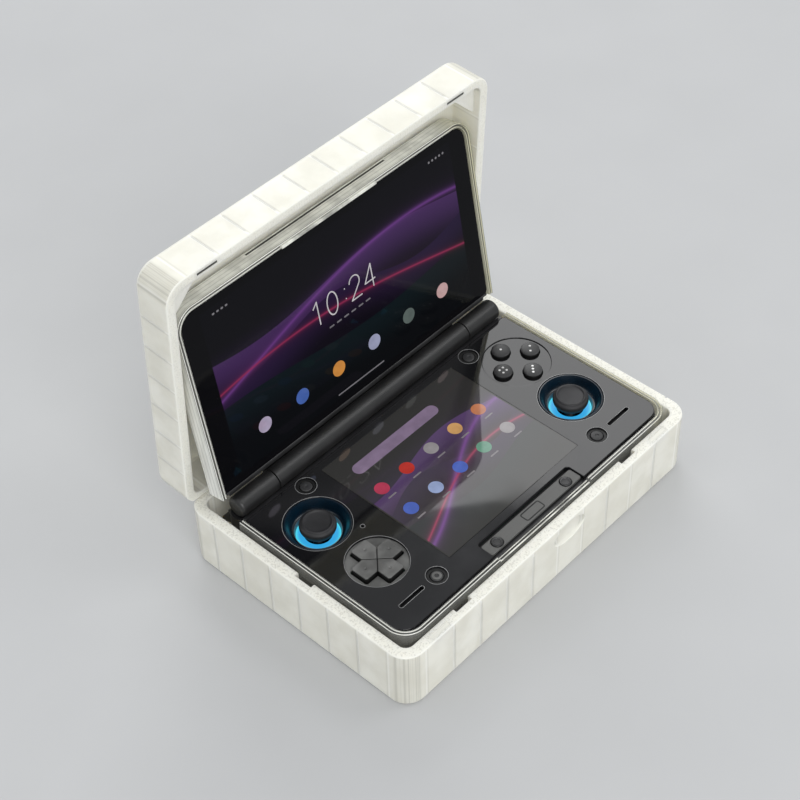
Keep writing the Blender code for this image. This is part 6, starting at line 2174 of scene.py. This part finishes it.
@dataclass
class HingeBarrel(Assembly):
    """The matt barrel between the halves, the strip before it and the chin above it."""

    radius: float = 4.5 * MM
    end_round: float = 1.6 * MM
    edge: float = 0.25 * MM
    cap_hole: float = 0.05 * MM
    strip_gap: float = 0.25 * MM
    strip_width: float = 1.5 * MM
    strip_inset: float = 0.4 * MM
    strip_span: Place = (-0.05 * MM, -0.3 * MM)
    bar_edge: float = 0.15 * MM
    chin_span: Place = (0.1 * MM, 0.3 * MM)
    chin_limits: Place = (0.1 * MM, 1.1 * MM)
    chin_corner: float = 0.3 * MM
    seal_gap: float = 0.35 * MM
    seal_inset: float = 2.0 * MM
    seal_start: float = 1.05 * MM
    seal_rise: float = 0.25 * MM
    seal_edge: float = 0.1 * MM

    def build(self) -> None:
        """Makes the three segments, the strip and the chin that closes on them from above."""
        self.segment("hinge_barrel_center", "barrel_middle", CONSOLE_LID_BODY, (self.edge, self.edge))
        for side, label in SIDES:
            rounds = (self.end_round, self.edge) if side < 0 else (self.edge, self.end_round)
            self.segment(f"hinge_knuckle_{label}", f"barrel_end_{label}", ROOT, rounds)
            coat(f"hinge_pin_{label}", self.looks.steel)
        face, low = Box.of("face_plate"), Box.of("lower_housing").high.z + self.strip_span[0]
        start = face.high.y + self.strip_gap
        strip = rounded(face.high.x - self.strip_inset, start, start + self.strip_width, self.strip_inset,
                        steps=4)
        item = Shape().bar(strip, low, face.high.z + self.strip_span[1], self.bar_edge)
        mount(item.object("hinge_strip", self.looks.deck), ROOT, Slot.MATT)
        glass = CONSOLE_HINGE.box_of("upper_glass")
        rim, (near, far) = glass.high.y, self.chin_limits
        chin = rounded(glass.high.x - self.strip_inset, rim + near, rim + far, self.chin_corner, steps=4)
        low, high = glass.low.z + self.chin_span[0], glass.high.z + self.chin_span[1]
        item = Shape().bar(chin, low, high, self.bar_edge)
        brink = (self.radius + self.seal_gap) * math.sqrt(0.5)
        seal = rounded(glass.high.x - self.seal_inset, rim + self.seal_start, -brink, self.chin_corner,
                       steps=4)
        item.bar(seal, brink, glass.high.z + self.seal_rise, self.seal_edge)
        chin_item = item.object("lid_chin", self.looks.button, CONSOLE_HINGE.matrix)
        mount(chin_item, CONSOLE_LID_BODY, Slot.MATT)

    def segment(self, node: str, name: str, body: str, rounds: Place) -> None:
        """One segment of the barrel.

        Args:
            node: The CAD node that it replaces.
            name: The piece's name.
            body: The body that it rides on.
            rounds: Radius of its left and of its right edge.
        """
        (low, high), axis, (left, right) = Box.of(node).reach(0), CONSOLE_HINGE.axis, rounds
        profile = [(self.cap_hole, low)]
        profile += [(self.radius - left + a, low + left - b) for a, b in arc(left, 90, 0, 6)]
        profile += eased(self.radius, high, right, steps=6) + [(self.cap_hole, high)]
        item = Shape().spin(profile, (0, axis.y, axis.z), Spindle.ACROSS).object(name, self.looks.barrel)
        mount(item, body, Slot.MATT, node)


@dataclass
class InnerAndEdges(Assembly):
    """Ports, keys, shoulder pieces and the works inside, which keep their CAD shapes."""

    def build(self) -> None:
        """Dresses each node."""
        looks = self.looks
        plan = {
            looks.board: ("main_board",), looks.cell: ("battery",), looks.gunmetal: ("fan_rotor",),
            looks.steel: ("usb_port", "card_slot"), looks.button_side: ("speaker_left", "speaker_right"),
            looks.matt: ("fan_housing", "headphone_jack", "power_button", "volume_rocker", "bumper_left",
                         "bumper_right", "trigger_left", "trigger_right"),
        }
        for material, nodes in plan.items():
            for node in nodes:
                coat(node, material)


@dataclass
class Studio:
    """Floor, soft lights and the camera of the photograph."""

    lens: float = 82.44
    sensor: float = 36.0
    clip: Place = (0.01, 20.0)
    position: Point3 = (-0.36032, -0.32336, 0.54842)
    right: Point3 = (0.6756, -0.7369, -0.0221)
    up: Point3 = (0.5342, 0.4687, 0.7036)
    back: Point3 = (-0.5081, -0.4871, 0.7103)
    floor_reach: float = 6.0
    floor_tones: tuple[Colour, Colour] = ((0.50, 0.505, 0.51), (0.54, 0.545, 0.55))
    surround: tuple[float, float, float, float] = (0.96, 0.98, 1.0, 1.0)
    surround_strength: float = 0.62
    target: Point3 = (0.0, 0.0, 40 * MM)
    boxes: tuple[tuple[str, Point3, float, float], ...] = (
        ("rear_box", (0.97, 1.28, 1.045), 1.2, 12.5), ("top_box", (-0.45, 0.55, 1.6), 0.8, 2.2),
        ("right_box", (0.75, -0.50, 1.30), 0.55, 2.8), ("front_box", (-0.65, -1.15, 1.05), 1.0, 11.0))

    def build(self) -> None:
        """Makes the stage."""
        self.floor()
        self.lights()
        self.camera()

    def floor(self) -> None:
        """A plain pale floor."""
        brush = Brush("floor_paper")
        brush.set(base_color=brush.mix(brush.noise(60 * MM, 3.0), *self.floor_tones), roughness=0.85)
        mesh, reach = bpy.data.meshes.new("floor"), self.floor_reach
        corners = [(-reach, -reach, 0), (reach, -reach, 0), (reach, reach, 0), (-reach, reach, 0)]
        mesh.from_pydata(corners, [], [(0, 1, 2, 3)])
        mesh.materials.append(brush.material)
        stand("floor", mesh)

    def lights(self) -> None:
        """Soft boxes and a pale surround; the plate mirrors the rear box from its middle to its right."""
        world = bpy.data.worlds.new("studio")
        bpy.context.scene.world = world
        world.use_nodes = True
        backdrop = world.node_tree.nodes["Background"]
        backdrop.inputs["Color"].default_value = self.surround
        backdrop.inputs["Strength"].default_value = self.surround_strength
        bpy.context.scene.view_settings.view_transform = "Standard"
        for name, place, size, power in self.boxes:
            light = bpy.data.lights.new(name, "AREA")
            light.shape, light.size, light.energy = "SQUARE", size, power
            lamp = stand(name, light)
            lamp.location = place
            lamp.rotation_mode = "QUATERNION"
            lamp.rotation_quaternion = (Vector(self.target) - Vector(place)).to_track_quat("-Z", "Y")

    def camera(self) -> None:
        """The camera at the photograph's place."""
        data = bpy.data.cameras.new("camera")
        data.lens, data.sensor_width = self.lens, self.sensor
        data.clip_start, data.clip_end = self.clip
        camera = stand("camera", data)
        turn = Matrix((self.right, self.up, self.back)).transposed().to_4x4()
        camera.matrix_world = Matrix.Translation(self.position) @ turn
        bpy.context.scene.camera = camera


def corners(box: Sequence[Vector]) -> list[list[float]]:
    """A box's two corners as plain lists."""
    return [list(corner) for corner in box]


def main() -> None:
    """Builds every sub-assembly."""
    logging.basicConfig(level=logging.INFO, format="%(name)s: %(message)s")
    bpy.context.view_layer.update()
    Studio().build()
    looks = Finishes()
    sticks = [ThumbStick(looks, label) for _, label in SIDES]
    for assembly in (
            CarryCase(looks), ClearShells(looks), FacePlate(looks), Screens(looks), FrontTab(looks), *sticks,
            DirectionPad(looks), FaceButtons(looks), RoundButtons(looks), HingeBarrel(looks),
            InnerAndEdges(looks)):
        LOG.info("building %s", type(assembly).__name__)
        assembly.build()


if __name__ == "__main__":
    main()
